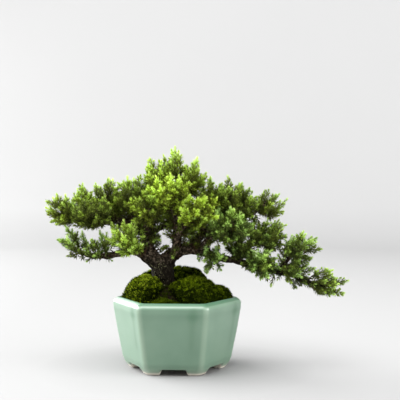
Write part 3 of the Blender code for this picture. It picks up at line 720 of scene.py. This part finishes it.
def with_stubs(points, triangles, rng):
    """The wood's skin with the stubs of old branches on the trunk."""
    corners, cross = triangle_sides(points, triangles)
    normals = unit(cross)
    centres = corners.mean(axis=1)
    height = centres[:, 2]
    trunk = (height > 60 * MM) & (height < 120 * MM) & (np.abs(centres[:, 0] - AXIS.x + 8 * MM) < 30 * MM)
    batch = Batch()
    batch.add(points, triangles)
    for index in rng.choice(np.flatnonzero(trunk), STUBS, replace=False):
        reach = rng.uniform(1.2, 3.4) * MM
        start = centres[index] - normals[index] * 2 * MM
        tip = centres[index] + normals[index] * reach * 0.5 + rng.normal(0, 0.4, 3) * MM
        batch.add(*tube_arrays([start, (start + tip) / 2, tip], [reach, reach * 0.9, reach * 0.55], 8))
    return np.concatenate(batch.points), np.concatenate(batch.faces)


def make_wood(material):
    """The wood, with knobs, flaking bark and old stubs, over the frame's trunk and limbs."""
    source, source_faces = node_arrays("trunk_and_limbs")
    skin, skin_faces = with_stubs(source, source_faces, np.random.default_rng(WOOD_SEED))
    points, faces, normals = remeshed("wood_raw", skin, skin_faces, WOOD_VOXEL)
    along = limb_directions(source, source_faces, points)
    run = np.einsum("ij,ij->i", points, along)[:, None] * along
    stretched = points - 0.74 * run
    ridges = 1 - 2 * np.abs(vary(stretched, 420, 1))
    flakes = vary(stretched, 900, 2)
    lumps = vary(points, 130, 3)
    above_soil = np.abs(points[:, 2] - 80 * MM) < 35 * MM
    trunk = smoothstep(points[:, 2], 118 * MM, 96 * MM) * above_soil
    girth = np.maximum(0.28 + 0.72 * trunk, 0.28 + 0.5 * limb_girth(points))
    depth = girth * (0.55 * ridges + 0.35 * flakes + 1.1 * lumps) * MM
    points = points + normals * depth[:, None]
    height = points[:, 2]
    # Specks of lichens all over, and more on the trunk's lower left side, where the key light falls: painted
    # highlight.
    left = smoothstep((AXIS.x - 9 * MM) - points[:, 0], -4 * MM, 6 * MM)
    lichen_and_highlight = left * smoothstep(height, 108 * MM, 92 * MM) * 0.95 + 0.12
    masks = {
        "lichen_and_highlight": np.clip(lichen_and_highlight + 0.4 * vary(points, 160, 5), 0, 1),
        # Painted shade, darker low on the trunk.
        "trunk_shade": 0.5 * smoothstep(height, 108 * MM, 94 * MM) + 0.5 * smoothstep(height, 88 * MM, 74 * MM),
    }
    wood = object_from_arrays("trunk_bark", points, faces, material, attributes=masks)
    place_piece(wood, "bark", "trunk_and_limbs")


def limb_girth(points):
    """0 on thin limbs and 1 near the fork."""
    fork = np.array(from_view(-10, 0, 104))
    away = np.linalg.norm(points - fork, axis=1)
    return smoothstep(away, 60 * MM, 14 * MM)


# ---- needles
# Every spray's (hue, brightness, lean): hue 0 is yellow-green and 0.75 blue-green, and the lean is the
# direction, as the viewer sees it, that its shoots share. The brightness is partly the spray's own colour and
# partly painted light and shade, set spray by spray.
SPRAYS = {
    "left_tip": (0.20, 0.84, (-0.7, 0.0, 0.35)),
    "left_outer": (0.18, 0.72, (-0.35, 0.0, 0.55)),
    "left_middle": (0.26, 0.62, (-0.1, 0.0, 0.7)),
    "left_front": (0.30, 0.56, (-0.3, -0.4, 0.5)),
    "left_inner": (0.26, 0.68, (-0.05, 0.0, 0.7)),
    "left_under": (0.38, 0.46, (-0.2, 0.0, 0.3)),
    "left_spray": (0.14, 1.50, (-0.2, -0.3, 0.5)),
    "low_left_outer": (0.38, 1.06, (-0.55, 0.0, 0.7)),
    "low_left_inner": (0.40, 1.05, (-0.3, 0.0, 0.8)),
    "crown_left": (0.14, 0.92, (-0.2, 0.0, 1.1)),
    "crown_top": (0.18, 0.92, (0.0, 0.0, 1.3)),
    "crown_right": (0.16, 0.90, (0.2, 0.0, 1.1)),
    "crown_front": (0.02, 1.06, (0.0, -0.5, 0.55)),
    "front_right": (0.04, 1.18, (0.25, -0.5, 0.5)),
    "front_left": (0.16, 0.74, (-0.25, -0.5, 0.5)),
    "core": (0.24, 0.90, (0.1, -0.2, 0.3)),
    "right_inner": (0.28, 0.62, (0.15, 0.0, 0.7)),
    "right_upper": (0.32, 0.60, (0.25, 0.0, 0.7)),
    "right_outer": (0.34, 0.60, (0.3, 0.0, 0.65)),
    "right_peak": (0.34, 0.70, (0.6, 0.0, 0.45)),
    "right_core": (0.34, 0.40, (0.2, 0.0, 0.3)),
    "shoulder": (0.40, 0.60, (0.4, -0.1, 0.4)),
    "right_front": (0.55, 0.74, (0.1, -0.5, 0.45)),
    "right_lower": (0.44, 0.50, (0.2, -0.2, 0.25)),
    "sprig": (0.60, 1.00, (0.0, -0.6, -0.5)),
    "low_right": (0.58, 0.90, (0.35, -0.4, -0.1)),
    "far_upper": (0.48, 0.80, (0.6, 0.0, 0.35)),
    "far_lower": (0.44, 0.76, (0.6, 0.0, -0.2)),
    "right_end": (0.40, 0.86, (1.5, 0.0, -0.10)),
    "back_left": (0.26, 0.74, (-0.3, 0.6, 0.5)),
    "back_centre": (0.18, 0.82, (0.0, 0.6, 0.55)),
    "back_right": (0.30, 0.76, (0.3, 0.6, 0.5)),
}
# Sprays whose shoots stand further apart than the rest.
OPEN_SPRAYS = {
    "low_left_outer": 1.35, "low_left_inner": 1.3, "far_upper": 1.15, "far_lower": 1.15, "right_end": 1.15,
    "right_peak": 1.15, "sprig": 1.1, "crown_top": 1.1,
}
SPRAY_SEED = 100
SPRAY_TRIES = 7000
TIP_GAP = 9.0 * MM  # between the shoots' tips at a spray's outside
INNER_GAP = 8.0 * MM  # and between those inside it
TIP_OUTSIDE = 1.2 * MM  # how far outer tips may lie outside the spray's skin
TIP_INSIDE = 2.6 * MM  # and how far inside
INNER_DEPTH = 4 * MM
WOOD_CLEARANCE = 4 * MM  # between an outer tip and the wood
LIMB_SEED = 77
LIMB_TRIES = 2600
LIMB_SHOOT_GAP = 4.6 * MM
SIDE_SHOOT_STEP = 3.4 * MM
WHORL_STEP = 1.2 * MM
NEEDLE_LENGTH = 5.2 * MM
SIDE_NEEDLE_LENGTH = 4.2 * MM
NEEDLE_WIDTH = 0.86 * MM
STEM_HUES = (-0.003, 0.003, 0.001, -0.001)  # added to a stem's hue round its four sides
DEAD_HUE = 0.96
# Places, as the viewer sees them, where the sky shows through the tree: (x, z, half width, half height).
WINDOWS = (
    (-12, 115.5, 6, 4), (46, 110, 5, 7), (10, 99, 14, 7), (-68, 128, 17, 3.6), (-88, 128, 8, 2.5),
)
# Places that the sprays leave free: between the peaks of the outline, and before the left limb.
NOTCHES = (
    (-20.5, 198, 3.6, 11), (-9, 200, 3.2, 12), (7, 200, 4.5, 13), (26, 190, 7, 11), (-47, 181, 8, 7),
    (-84, 171, 5, 7), (36, 176, 5, 9), (54, 178, 6, 8), (76, 166, 6, 9), (-54, 142, 10, 5),
)


def in_any(gaps, point):
    """Whether a point stands before or behind one of some gaps in the tree."""
    seen = Matrix.Rotation(-VIEW_TURN, 3, "Z") @ (Vector(point) - AXIS) / MM
    return any(
        ((seen.x - x) / half_width) ** 2 + ((seen.z - z) / half_height) ** 2 < 1
        for x, z, half_width, half_height in gaps
    )


def spread_points(candidates, gap):
    """Picks candidates in turn that keep a gap to each other."""
    kept = []
    for p in candidates:
        if not kept or np.min(np.sum((np.array(kept) - p) ** 2, axis=1)) > gap * gap:
            kept.append(p)
    return kept


def shoot_line(base, tip, rng):
    """A shoot's line, which leaves its twig low and turns up to its tip."""
    reach = np.linalg.norm(tip - base)
    middle = (base + tip) / 2 + rng.normal(0, 0.07, 3) * reach + np.array([0, 0, -0.07 * reach])
    return bowed_line(base, middle, tip, max(5, int(reach / WHORL_STEP)))


def needles_along(line, hue, bottom, top, rng, length=NEEDLE_LENGTH):
    """Whorls of three along a shoot, and five needles round its tip.

    Returns rows of base, direction, side, length, width, hue, brightness at the base and tip, and the
    shoot's direction.
    """
    last = len(line) - 1
    tangents = unit(np.gradient(line, axis=0))
    across, beside = square_to(tangents, (0.23, 0.41, 0.88))
    start = rng.uniform(0, 2 * np.pi)
    rows = []
    for i in range(1, last + 1):
        s = i / last
        whorl = 3 if i < last else 5
        lean = math.radians(60 - 32 * s) if i < last else 0.26
        size = length * (0.72 + 0.42 * math.sin(math.pi * min(1.0, 0.25 + 0.75 * s))) * (1 - 0.30 * s)
        for j in range(whorl):
            turn = start + i * math.pi / 3 + j * 2 * math.pi / whorl
            out = math.cos(turn) * across[i] + math.sin(turn) * beside[i]
            tilt = lean + rng.normal(0, 0.12)
            direction = math.cos(tilt) * tangents[i] + math.sin(tilt) * out
            side = np.cross(tangents[i], out)
            # Painted light and shade as well as ageing: a needle's brightness follows its shoot's, which is
            # set by where the shoot lies in its spray.
            age_and_light = (bottom + (top - bottom) * s**1.7) * rng.uniform(0.48, 1.58)
            rows.append((
                line[i] + out * 0.3 * MM, direction, side, size * rng.uniform(0.82, 1.15),
                NEEDLE_WIDTH * rng.uniform(0.85, 1.15), hue + rng.normal(0, 0.02),
                age_and_light * 0.72 - 0.06, age_and_light * 1.12 + 0.08, tangents[i],
            ))
    return rows


def needle_mesh(rows):
    """Closed, three-sided, slightly incurved needles, ten triangles each."""
    base, direction, side, length, width, hue, old, young, axis = (np.array(column) for column in zip(*rows))
    length, width = length[:, None], width[:, None]
    face = np.cross(side, direction)
    middle = base + direction * length * 0.42
    tip = base + direction * length + axis * length * 0.08
    points = np.stack([
        base + side * width * 0.34, base - side * width * 0.34, base + face * width * 0.3,
        middle + side * width * 0.5, middle - side * width * 0.5, middle + face * width * 0.42,
        tip,
    ], axis=1)
    pattern = np.array([
        (0, 1, 4), (0, 4, 3), (1, 2, 5), (1, 5, 4), (2, 0, 3), (2, 3, 5), (3, 4, 6), (4, 5, 6), (5, 3, 6),
        (0, 2, 1),
    ])
    faces = pattern[None] + np.arange(len(points))[:, None, None] * 7
    a, b, c = (points[:, i] for i in (0, 1, 4))
    inward = np.einsum("ij,ij->i", np.cross(b - a, c - a), face) > 0
    faces[inward] = faces[inward][:, :, ::-1]
    hue = np.clip(hue, 0.01, 0.99)
    # old and young hold brightness with painted light and shade in it, not only ageing.
    old, young = np.clip(old, 0.01, 0.97), np.clip(young, 0.03, 0.99)
    spread = np.array([-0.004, 0.004, 0.0])  # keeps each needle's triangles apart on the map
    lift = np.array([0.0, 0.0, 0.004])
    uv = np.empty((len(points), 7, 2))
    uv[:, :6, 0] = hue[:, None] + np.tile(spread, 2)
    uv[:, 6, 0] = hue
    uv[:, :3, 1] = old[:, None] + lift
    uv[:, 3:6, 1] = (0.6 * old + 0.4 * young)[:, None] + lift
    uv[:, 6, 1] = young
    return points.reshape(-1, 3), faces.reshape(-1, 3), uv.reshape(-1, 2)


def side_shoots(line, top, rng):
    """Short shoots up both sides of a longer one: (line, brightness of the tip) pairs."""
    reach = float(np.linalg.norm(line[-1] - line[0]))
    tangents = unit(np.gradient(line, axis=0))
    turn = rng.uniform(0, 2 * math.pi)
    made = []
    count = int(reach / SIDE_SHOOT_STEP)
    for k in range(count):
        s = 0.16 + 0.62 * (k + rng.uniform(0.0, 0.6)) / max(1, count)
        at = min(len(line) - 2, int(s * len(line)))
        turn += 2.4 + rng.normal(0, 0.3)
        across, beside = square_to(tangents[at], (0.3, 0.5, 0.81))
        out = math.cos(turn) * across + math.sin(turn) * beside
        direction = unit(tangents[at] * 0.84 + out * 0.60 + np.array([0, 0, 0.12]))
        size = (1 - s) * reach * 0.34 + rng.uniform(1.5, 2.9) * MM
        shoot = shoot_line(line[at], line[at] + direction * size, rng)
        made.append((shoot, top * (0.30 + 0.72 * s + rng.uniform(-0.06, 0.10))))
    return made


def add_stem(batch, line, hue, stem_tones):
    """A shoot's thin stem, coloured by the same map as its needles."""
    points, faces = tube_arrays(line, np.linspace(0.6, 0.28, len(line)) * MM, len(STEM_HUES))
    hues = hue + np.tile(STEM_HUES, len(line))
    batch.add(points, faces, np.stack([hues, np.repeat(stem_tones, len(STEM_HUES))], 1))


def spray_places(surface, low, high, wood_tree, rng):
    """Random places near a spray's skin and well inside it, and the skin's direction at the first kind."""
    shell, inner, facing = [], [], {}
    for p in rng.uniform(low - TIP_OUTSIDE, high + TIP_OUTSIDE, (SPRAY_TRIES, 3)):
        skin, normal, _, distance = surface.find_nearest(Vector(p))
        outside = (Vector(p) - skin).dot(normal) > 0
        if (outside and distance > TIP_OUTSIDE) or in_any(NOTCHES, p):
            continue
        if (outside or distance < TIP_INSIDE) and wood_tree.find(p)[2] > WOOD_CLEARANCE:
            shell.append(p)
            facing[tuple(p)] = np.array(normal)
        elif distance > INNER_DEPTH:
            inner.append(p)
    return shell, inner, facing


def shoot_base(tip, direction, reach, surface):
    """Where a shoot starts: behind its tip, and inside the spray."""
    for share in (1.0, 0.8, 0.6, 0.45):
        base = tip - direction * reach * share
        skin, normal, _, distance = surface.find_nearest(Vector(base))
        if (Vector(base) - skin).dot(normal) < 0 or distance < 1.0 * MM:
            return base
    return np.array(skin - normal * 1.5 * MM)


def shoot_ends(name, low, high, wood_tree, rng):
    """Every shoot of a spray: (tip, base, whether it is an outer one), those nearest the wood first."""
    lean = np.array(Matrix.Rotation(VIEW_TURN, 3, "Z") @ Vector(SPRAYS[name][2]))
    surface = surface_tree(f"foliage_{name}")
    shell, inner, facing = spray_places(surface, low, high, wood_tree, rng)
    spacing = OPEN_SPRAYS.get(name, 1.0)
    tips = spread_points(shell, TIP_GAP * spacing)
    deep = spread_points(inner, INNER_GAP * spacing)
    centre, half = (low + high) / 2, (high - low) / 2
    root = np.array(wood_tree.find(centre)[0]) * 0.5 + (centre - half * np.array([0, 0, 0.6])) * 0.5
    ends = []
    for outer, group in ((True, tips), (False, deep)):
        for tip in group:
            away = unit(tip - root)
            outward = facing[tuple(tip)] if outer else np.array([0, 0, 0.3])
            direction = unit(away * 0.40 + outward * 0.32 + lean * 0.95 + rng.normal(0, 0.17, 3))
            reach = (rng.uniform(14, 23) if outer else rng.uniform(7, 11)) * MM
            tip = tip + direction * (rng.uniform(-1.0, 3.4) * MM if outer else 0)
            ends.append((tip, shoot_base(tip, direction, reach, surface), outer))
    return sorted(ends, key=lambda end: wood_tree.find(end[1])[2])


def grow_twig(nodes, base, twigs, rng):
    """A twig from the nearest wood or twig to a shoot's base. Its points join the nodes."""
    array = np.array(nodes)
    start = array[np.argmin(np.linalg.norm(array - base, axis=1))]
    gap = np.linalg.norm(base - start)
    if gap <= 1 * MM:
        return
    bend = (start + base) / 2 + rng.normal(0, 0.08, 3) * gap
    line = bowed_line(start, bend, base, max(4, int(gap / (2.5 * MM))))
    thick = (0.55 + min(0.5, gap / (30 * MM))) * MM
    twigs.add(*tube_arrays(line, np.linspace(thick, 0.5 * MM, len(line)), 5))
    nodes += list(line[1:])


def grow_shoot(line, outer, hue, top, batch, rng):
    """A shoot's needles and side shoots. Its stem goes into the batch, and the needles' rows come back."""
    rows = needles_along(line, hue, 0.10 * top, top, rng)
    if outer:
        for side, side_top in side_shoots(line, top, rng):
            side_hue = hue + rng.normal(0, 0.02)
            rows += needles_along(side, side_hue, 0.36 * side_top, side_top, rng, SIDE_NEEDLE_LENGTH)
    add_stem(batch, line, hue, np.linspace(0.22, 0.6, len(line)) * top)
    return rows


def grow_spray(name, wood_points, wood_tree, limb_growth, twigs, material, rng):
    """One spray: shoots whose tips fill its node's space, on twigs that spring from the limb inside it."""
    hue, brightness, _ = SPRAYS[name]
    low, high = (np.array(corner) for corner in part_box(f"foliage_{name}"))
    ends = shoot_ends(name, low, high, wood_tree, rng)
    around = wood_tree.find_range((low + high) / 2, float((high - low).max()) / 2 + 10 * MM)
    nodes = [wood_points[index] for _, index, _ in around]
    rows = []
    batch = Batch()
    for tip, base, outer in ends:
        grow_twig(nodes, base, twigs, rng)
        height = float(np.clip((tip[2] - low[2]) / (high[2] - low[2]), 0, 1))
        # Painted light and shade: outer shoots are brighter the higher they stand in the spray, and inner
        # shoots are dark.
        light = (0.30 + 0.70 * height) if outer else 0.22
        top = brightness * (0.32 + 0.68 * light) * rng.uniform(0.56, 1.24)
        line = shoot_line(base, tip, rng)
        tint = float(np.clip(hue + rng.normal(0, 0.07), 0.0, 0.8))
        rows += grow_shoot(line, outer, tint, top, batch, rng)
    for spot, direction in limb_growth:
        reach = rng.uniform(7, 12.5) * MM
        line = shoot_line(spot, spot + direction * reach, rng)
        tint = float(np.clip(0.35 + rng.normal(0, 0.1), 0.0, 0.8))
        # Painted shade: the shoots on the limbs inside the tree are dark.
        top = rng.uniform(0.22, 0.50) * (0.6 + 0.4 * brightness)
        rows += needles_along(line, tint, 0.05, top, rng)
        add_stem(batch, line, DEAD_HUE, np.full(len(line), 0.3))
    batch.add(*needle_mesh(rows))
    place_piece(batch.build(f"needles_{name}", material, smooth=False), "needles", f"foliage_{name}")


def limb_shoots(rng):
    """Where short dark shoots spring from the limbs between the sprays: (base, direction) pairs."""
    corners, cross = triangle_sides(*node_arrays("trunk_and_limbs"))
    x = corners[:, :, 0].mean(axis=1) - AXIS.x
    height = corners[:, :, 2].mean(axis=1)
    leafy = (
        (height > 121 * MM)
        | ((height > 108 * MM) & (np.abs(x + 14 * MM) < 17 * MM))
        | ((height > 112 * MM) & (x > 3 * MM))
        | ((height > 84 * MM) & (x > 62 * MM))
        | ((height > 103 * MM) & (x < -66 * MM))
    )
    chosen, _, spots = scatter(rng, corners, np.linalg.norm(cross, axis=1) * leafy, LIMB_TRIES)
    kept = []
    for spot, normal in zip(spots, unit(cross[chosen])):
        direction = unit(normal + np.array([0, 0, 0.35]) + rng.normal(0, 0.35, 3))
        if in_any(WINDOWS, spot + direction * 7 * MM) or in_any(WINDOWS, spot):
            continue
        bases = np.array([base for base, _ in kept]).reshape(-1, 3)
        if np.any(np.sum((bases - spot) ** 2, axis=1) < LIMB_SHOOT_GAP**2):
            continue
        kept.append((spot, direction))
    return kept


def sort_to_sprays(shoots):
    """Each limb shoot goes with the spray whose middle is nearest."""
    middles = {name: sum(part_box(f"foliage_{name}"), Vector()) / 2 for name in SPRAYS}
    sorted_shoots = {name: [] for name in SPRAYS}
    for spot, direction in shoots:
        nearest = min(SPRAYS, key=lambda name: (middles[name] - Vector(spot)).length)
        sorted_shoots[nearest].append((spot, direction))
    return sorted_shoots


def make_foliage(material, bark):
    wood_points, _ = node_arrays("trunk_and_limbs")
    wood_tree = point_tree(wood_points)
    limb_growth = sort_to_sprays(limb_shoots(np.random.default_rng(LIMB_SEED)))
    twigs = Batch()
    for index, name in enumerate(SPRAYS):
        rng = np.random.default_rng(SPRAY_SEED + index)
        grow_spray(name, wood_points, wood_tree, limb_growth[name], twigs, material, rng)
    place_piece(twigs.build("fine_twigs", bark), "bark")


# ---- moss
BLADES = 6  # in each tuft
BLADE_WIDTH = 0.5 * MM
TUFT_GAP = 1.15 * MM
CREEPING_TUFTS = 1500
MOSS_SEED = 300
MOSS_VOXEL = 1.1 * MM
FRONT_CUSHION = "moss_front_centre"  # the small one, darkened by painted shade, with thin moss on the soil beside it


def tufts(points, normals, rng, hue, base_brightness, tip_brightness):
    """Small stars of pointed leaves on a surface."""
    count = len(points)
    spread = rng.normal(0, 1, (count, BLADES, 3))
    spread -= np.einsum("ijk,ik->ij", spread, normals)[:, :, None] * normals[:, None]
    direction = unit(normals[:, None] * 0.9 + unit(spread) * rng.uniform(0.25, 0.95, (count, BLADES, 1)))
    side = unit(np.cross(direction, normals[:, None] + 0.01 * spread)) * BLADE_WIDTH
    face = np.cross(side, direction)
    length = rng.uniform(1.5, 3.3, (count, BLADES, 1)) * MM
    base = np.repeat(points[:, None], BLADES, axis=1) - normals[:, None] * 0.2 * MM
    tip = base + direction * length
    corners = np.stack([base + side / 2, base - side / 2, base + face * 0.6, tip], axis=2)
    pattern = np.array([(0, 1, 3), (1, 2, 3), (2, 0, 3), (0, 2, 1)])
    faces = pattern[None] + np.arange(count * BLADES)[:, None, None] * 4
    uv = np.empty((count, BLADES, 4, 2))
    uv[..., 0] = hue[:, None, None] + np.array([-0.004, 0.004, 0.0, 0.0])
    uv[..., :3, 1] = base_brightness[:, None, None] + np.array([0.0, 0.0, 0.004])
    uv[..., 3, 1] = tip_brightness[:, None] * rng.uniform(0.7, 1.1, (count, BLADES))
    return corners.reshape(-1, 3), faces.reshape(-1, 3), np.clip(uv, 0.005, 0.995).reshape(-1, 2)


def creeping_moss(rng):
    """Tufts of thin, dull moss on the bare soil round the trunk's foot."""
    corners, cross = triangle_sides(*node_arrays("root_ball_soil"))
    facing = unit(cross)
    foot = np.array(from_view(-11, -6, 66))
    near = np.linalg.norm(corners.mean(axis=1)[:, :2] - foot[:2], axis=1) < 30 * MM
    share = np.linalg.norm(cross, axis=1) * near * (facing[:, 2] > 0.15)
    chosen, _, spots = scatter(rng, corners, share, CREEPING_TUFTS)
    hue = rng.uniform(0.4, 0.9, len(spots))
    bright = rng.uniform(0.10, 0.42, len(spots))
    return tufts(spots, facing[chosen], rng, hue, 0.12 * bright, bright)


def make_moss(name, material, obstacles, seed):
    """A lumpy cushion over its node, smooth where it meets its neighbours, with tufts on its open side."""
    rng = np.random.default_rng(seed)
    points, faces, normals = remeshed(f"{name}_raw", *node_arrays(name), MOSS_VOXEL)
    free = np.array([min(tree.find_nearest(Vector(p))[3] for tree in obstacles) for p in points])
    lumps = 1.0 * vary(points, 110, seed) + 0.55 * vary(points, 260, seed + 1)
    points = points + normals * (smoothstep(free, 0.4 * MM, 3 * MM) * lumps * MM)[:, None]
    triangles = np.concatenate([faces[:, [0, 1, 2]], faces[:, [0, 2, 3]]])
    corners, cross = triangle_sides(points, triangles)
    share = np.linalg.norm(cross, axis=1) / 2 * (free[triangles].mean(axis=1) > 1.3 * MM)
    total = int(share.sum() / TUFT_GAP**2)
    chosen, weights, spots = scatter(rng, corners, share, total)
    facing = unit(cross[chosen])
    lump = np.einsum("ij,ij->i", weights, lumps[triangles][chosen])
    grain = vary(spots, 640, 21)
    hue = np.clip(0.35 + 0.9 * vary(spots, 60, 9) + rng.normal(0, 0.12, total), 0.02, 0.98)
    # Painted shade: the cushions on the right, under the right limb, are darker.
    shaded = 1 - 0.30 * smoothstep(spots[:, 0] - AXIS.x, -14 * MM, 4 * MM)
    # Painted light: tufts that face up and to the left, towards the lights, are brighter.
    facing_light = smoothstep(facing[:, 2] - 0.10 * facing[:, 0], 0.22, 1.04)
    bright = 0.01 + 0.68 * facing_light**2 + 0.42 * lump + 1.5 * grain + rng.normal(0, 0.34, total)
    bright = np.clip(bright, 0.02, 1.0) * shaded
    # Painted shade: the small front cushion is darker.
    if name == FRONT_CUSHION:
        bright = bright * 0.5
    # Painted shade: the cushion's own skin between the tufts is coloured near black.
    order = np.arange(len(points))
    shaded_ground = np.stack([0.5 + 0.004 * np.sin(order * 2.1), 0.03 + 0.004 * np.cos(order * 1.7)], 1)
    batch = Batch()
    batch.add(points, triangles, shaded_ground)
    batch.add(*tufts(spots, facing, rng, hue, 0.16 * bright, bright))
    if name == FRONT_CUSHION:
        batch.add(*creeping_moss(rng))
    place_piece(batch.build(f"{name}_cushion", material), "moss", name)


# ---- stage
def make_stage():
    """A pale floor that sweeps up all round into a backdrop, like a wide shallow bowl."""
    steps, around = 48, 96
    reach, flat, rise = 3.6, 1.5, 4.2
    radii = np.linspace(0, reach, steps)
    heights = rise * smoothstep(radii, flat, reach * 1.15) ** 1.2
    angles = np.linspace(0, 2 * np.pi, around, endpoint=False)
    points = [(0, 0, 0)]
    for r, h in zip(radii[1:], heights[1:]):
        points += [(r * math.cos(a), r * math.sin(a), h) for a in angles]
    material = floor_material()
    bowl = object_from_arrays("studio_floor", np.array(points), 1 + ring_faces(steps - 1, around), material)
    disc = np.array([(0, 1 + j, 1 + (j + 1) % around) for j in range(around)])
    middle = object_from_arrays("studio_floor_middle", np.array(points[: around + 1]), disc, material)


def area_light(name, place, target, size, power):
    """A white softbox of a size in metres and a power in watts, turned to its target."""
    light = bpy.data.lights.new(name, "AREA")
    light.shape = "RECTANGLE"
    light.size, light.size_y = size
    light.energy = power
    obj = add_object(name, light)
    obj.location = place
    obj.rotation_euler = (target - place).to_track_quat("-Z", "Y").to_euler()


def make_lights():
    target = from_view(10, 0, 90)
    area_light("key_softbox", from_view(-1750, 970, 790), target, (1.9, 1.2), 172)
    area_light("top_softbox", from_view(-350, -500, 1700), target, (1.5, 1.5), 54)
    area_light("left_fill", from_view(-1500, -350, 450), target, (1.2, 1.0), 8)
    area_light("right_fill", from_view(1500, -500, 600), target, (1.2, 1.0), 24)
    world = bpy.data.worlds.new("studio_world")
    world.use_nodes = True
    bpy.context.scene.world = world
    background = world.node_tree.nodes["Background"]
    background.inputs["Color"].default_value = (1.0, 1.0, 1.0, 1)
    background.inputs["Strength"].default_value = 0.77


def make_camera():
    """The viewer's eye, 0.8 m before the pot, as high as the tree's upper branches and almost level."""
    data = bpy.data.cameras.new("camera")
    data.lens = 76.5
    data.sensor_width = 36
    camera = add_object("camera", data)
    camera.location = from_view(21.5, -793, 169.6)
    camera.rotation_euler = (math.radians(89.0), 0, VIEW_TURN)
    bpy.context.scene.camera = camera


# ---- the whole
def dress(node, material):
    """Gives a node that keeps its own shape its material."""
    data = NODES[node].data
    data.materials.clear()
    data.materials.append(material)


def main():
    make_camera()
    make_pot(glaze_material())
    dress("root_ball_soil", soil_material())
    dress("drain_screen", plastic_material())
    dress("screen_clip", wire_material())
    make_wood(bark_material())
    make_foliage(needle_material(), twig_material())
    obstacles = [surface_tree(name) for name in ("pot", "trunk_and_limbs", "root_ball_soil")]
    moss = moss_material()
    for index, name in enumerate(sorted(n for n in NODES if n.startswith("moss_"))):
        make_moss(name, moss, obstacles, MOSS_SEED + index)
    make_stage()
    make_lights()
    bpy.context.scene.view_settings.view_transform = "Standard"


main()
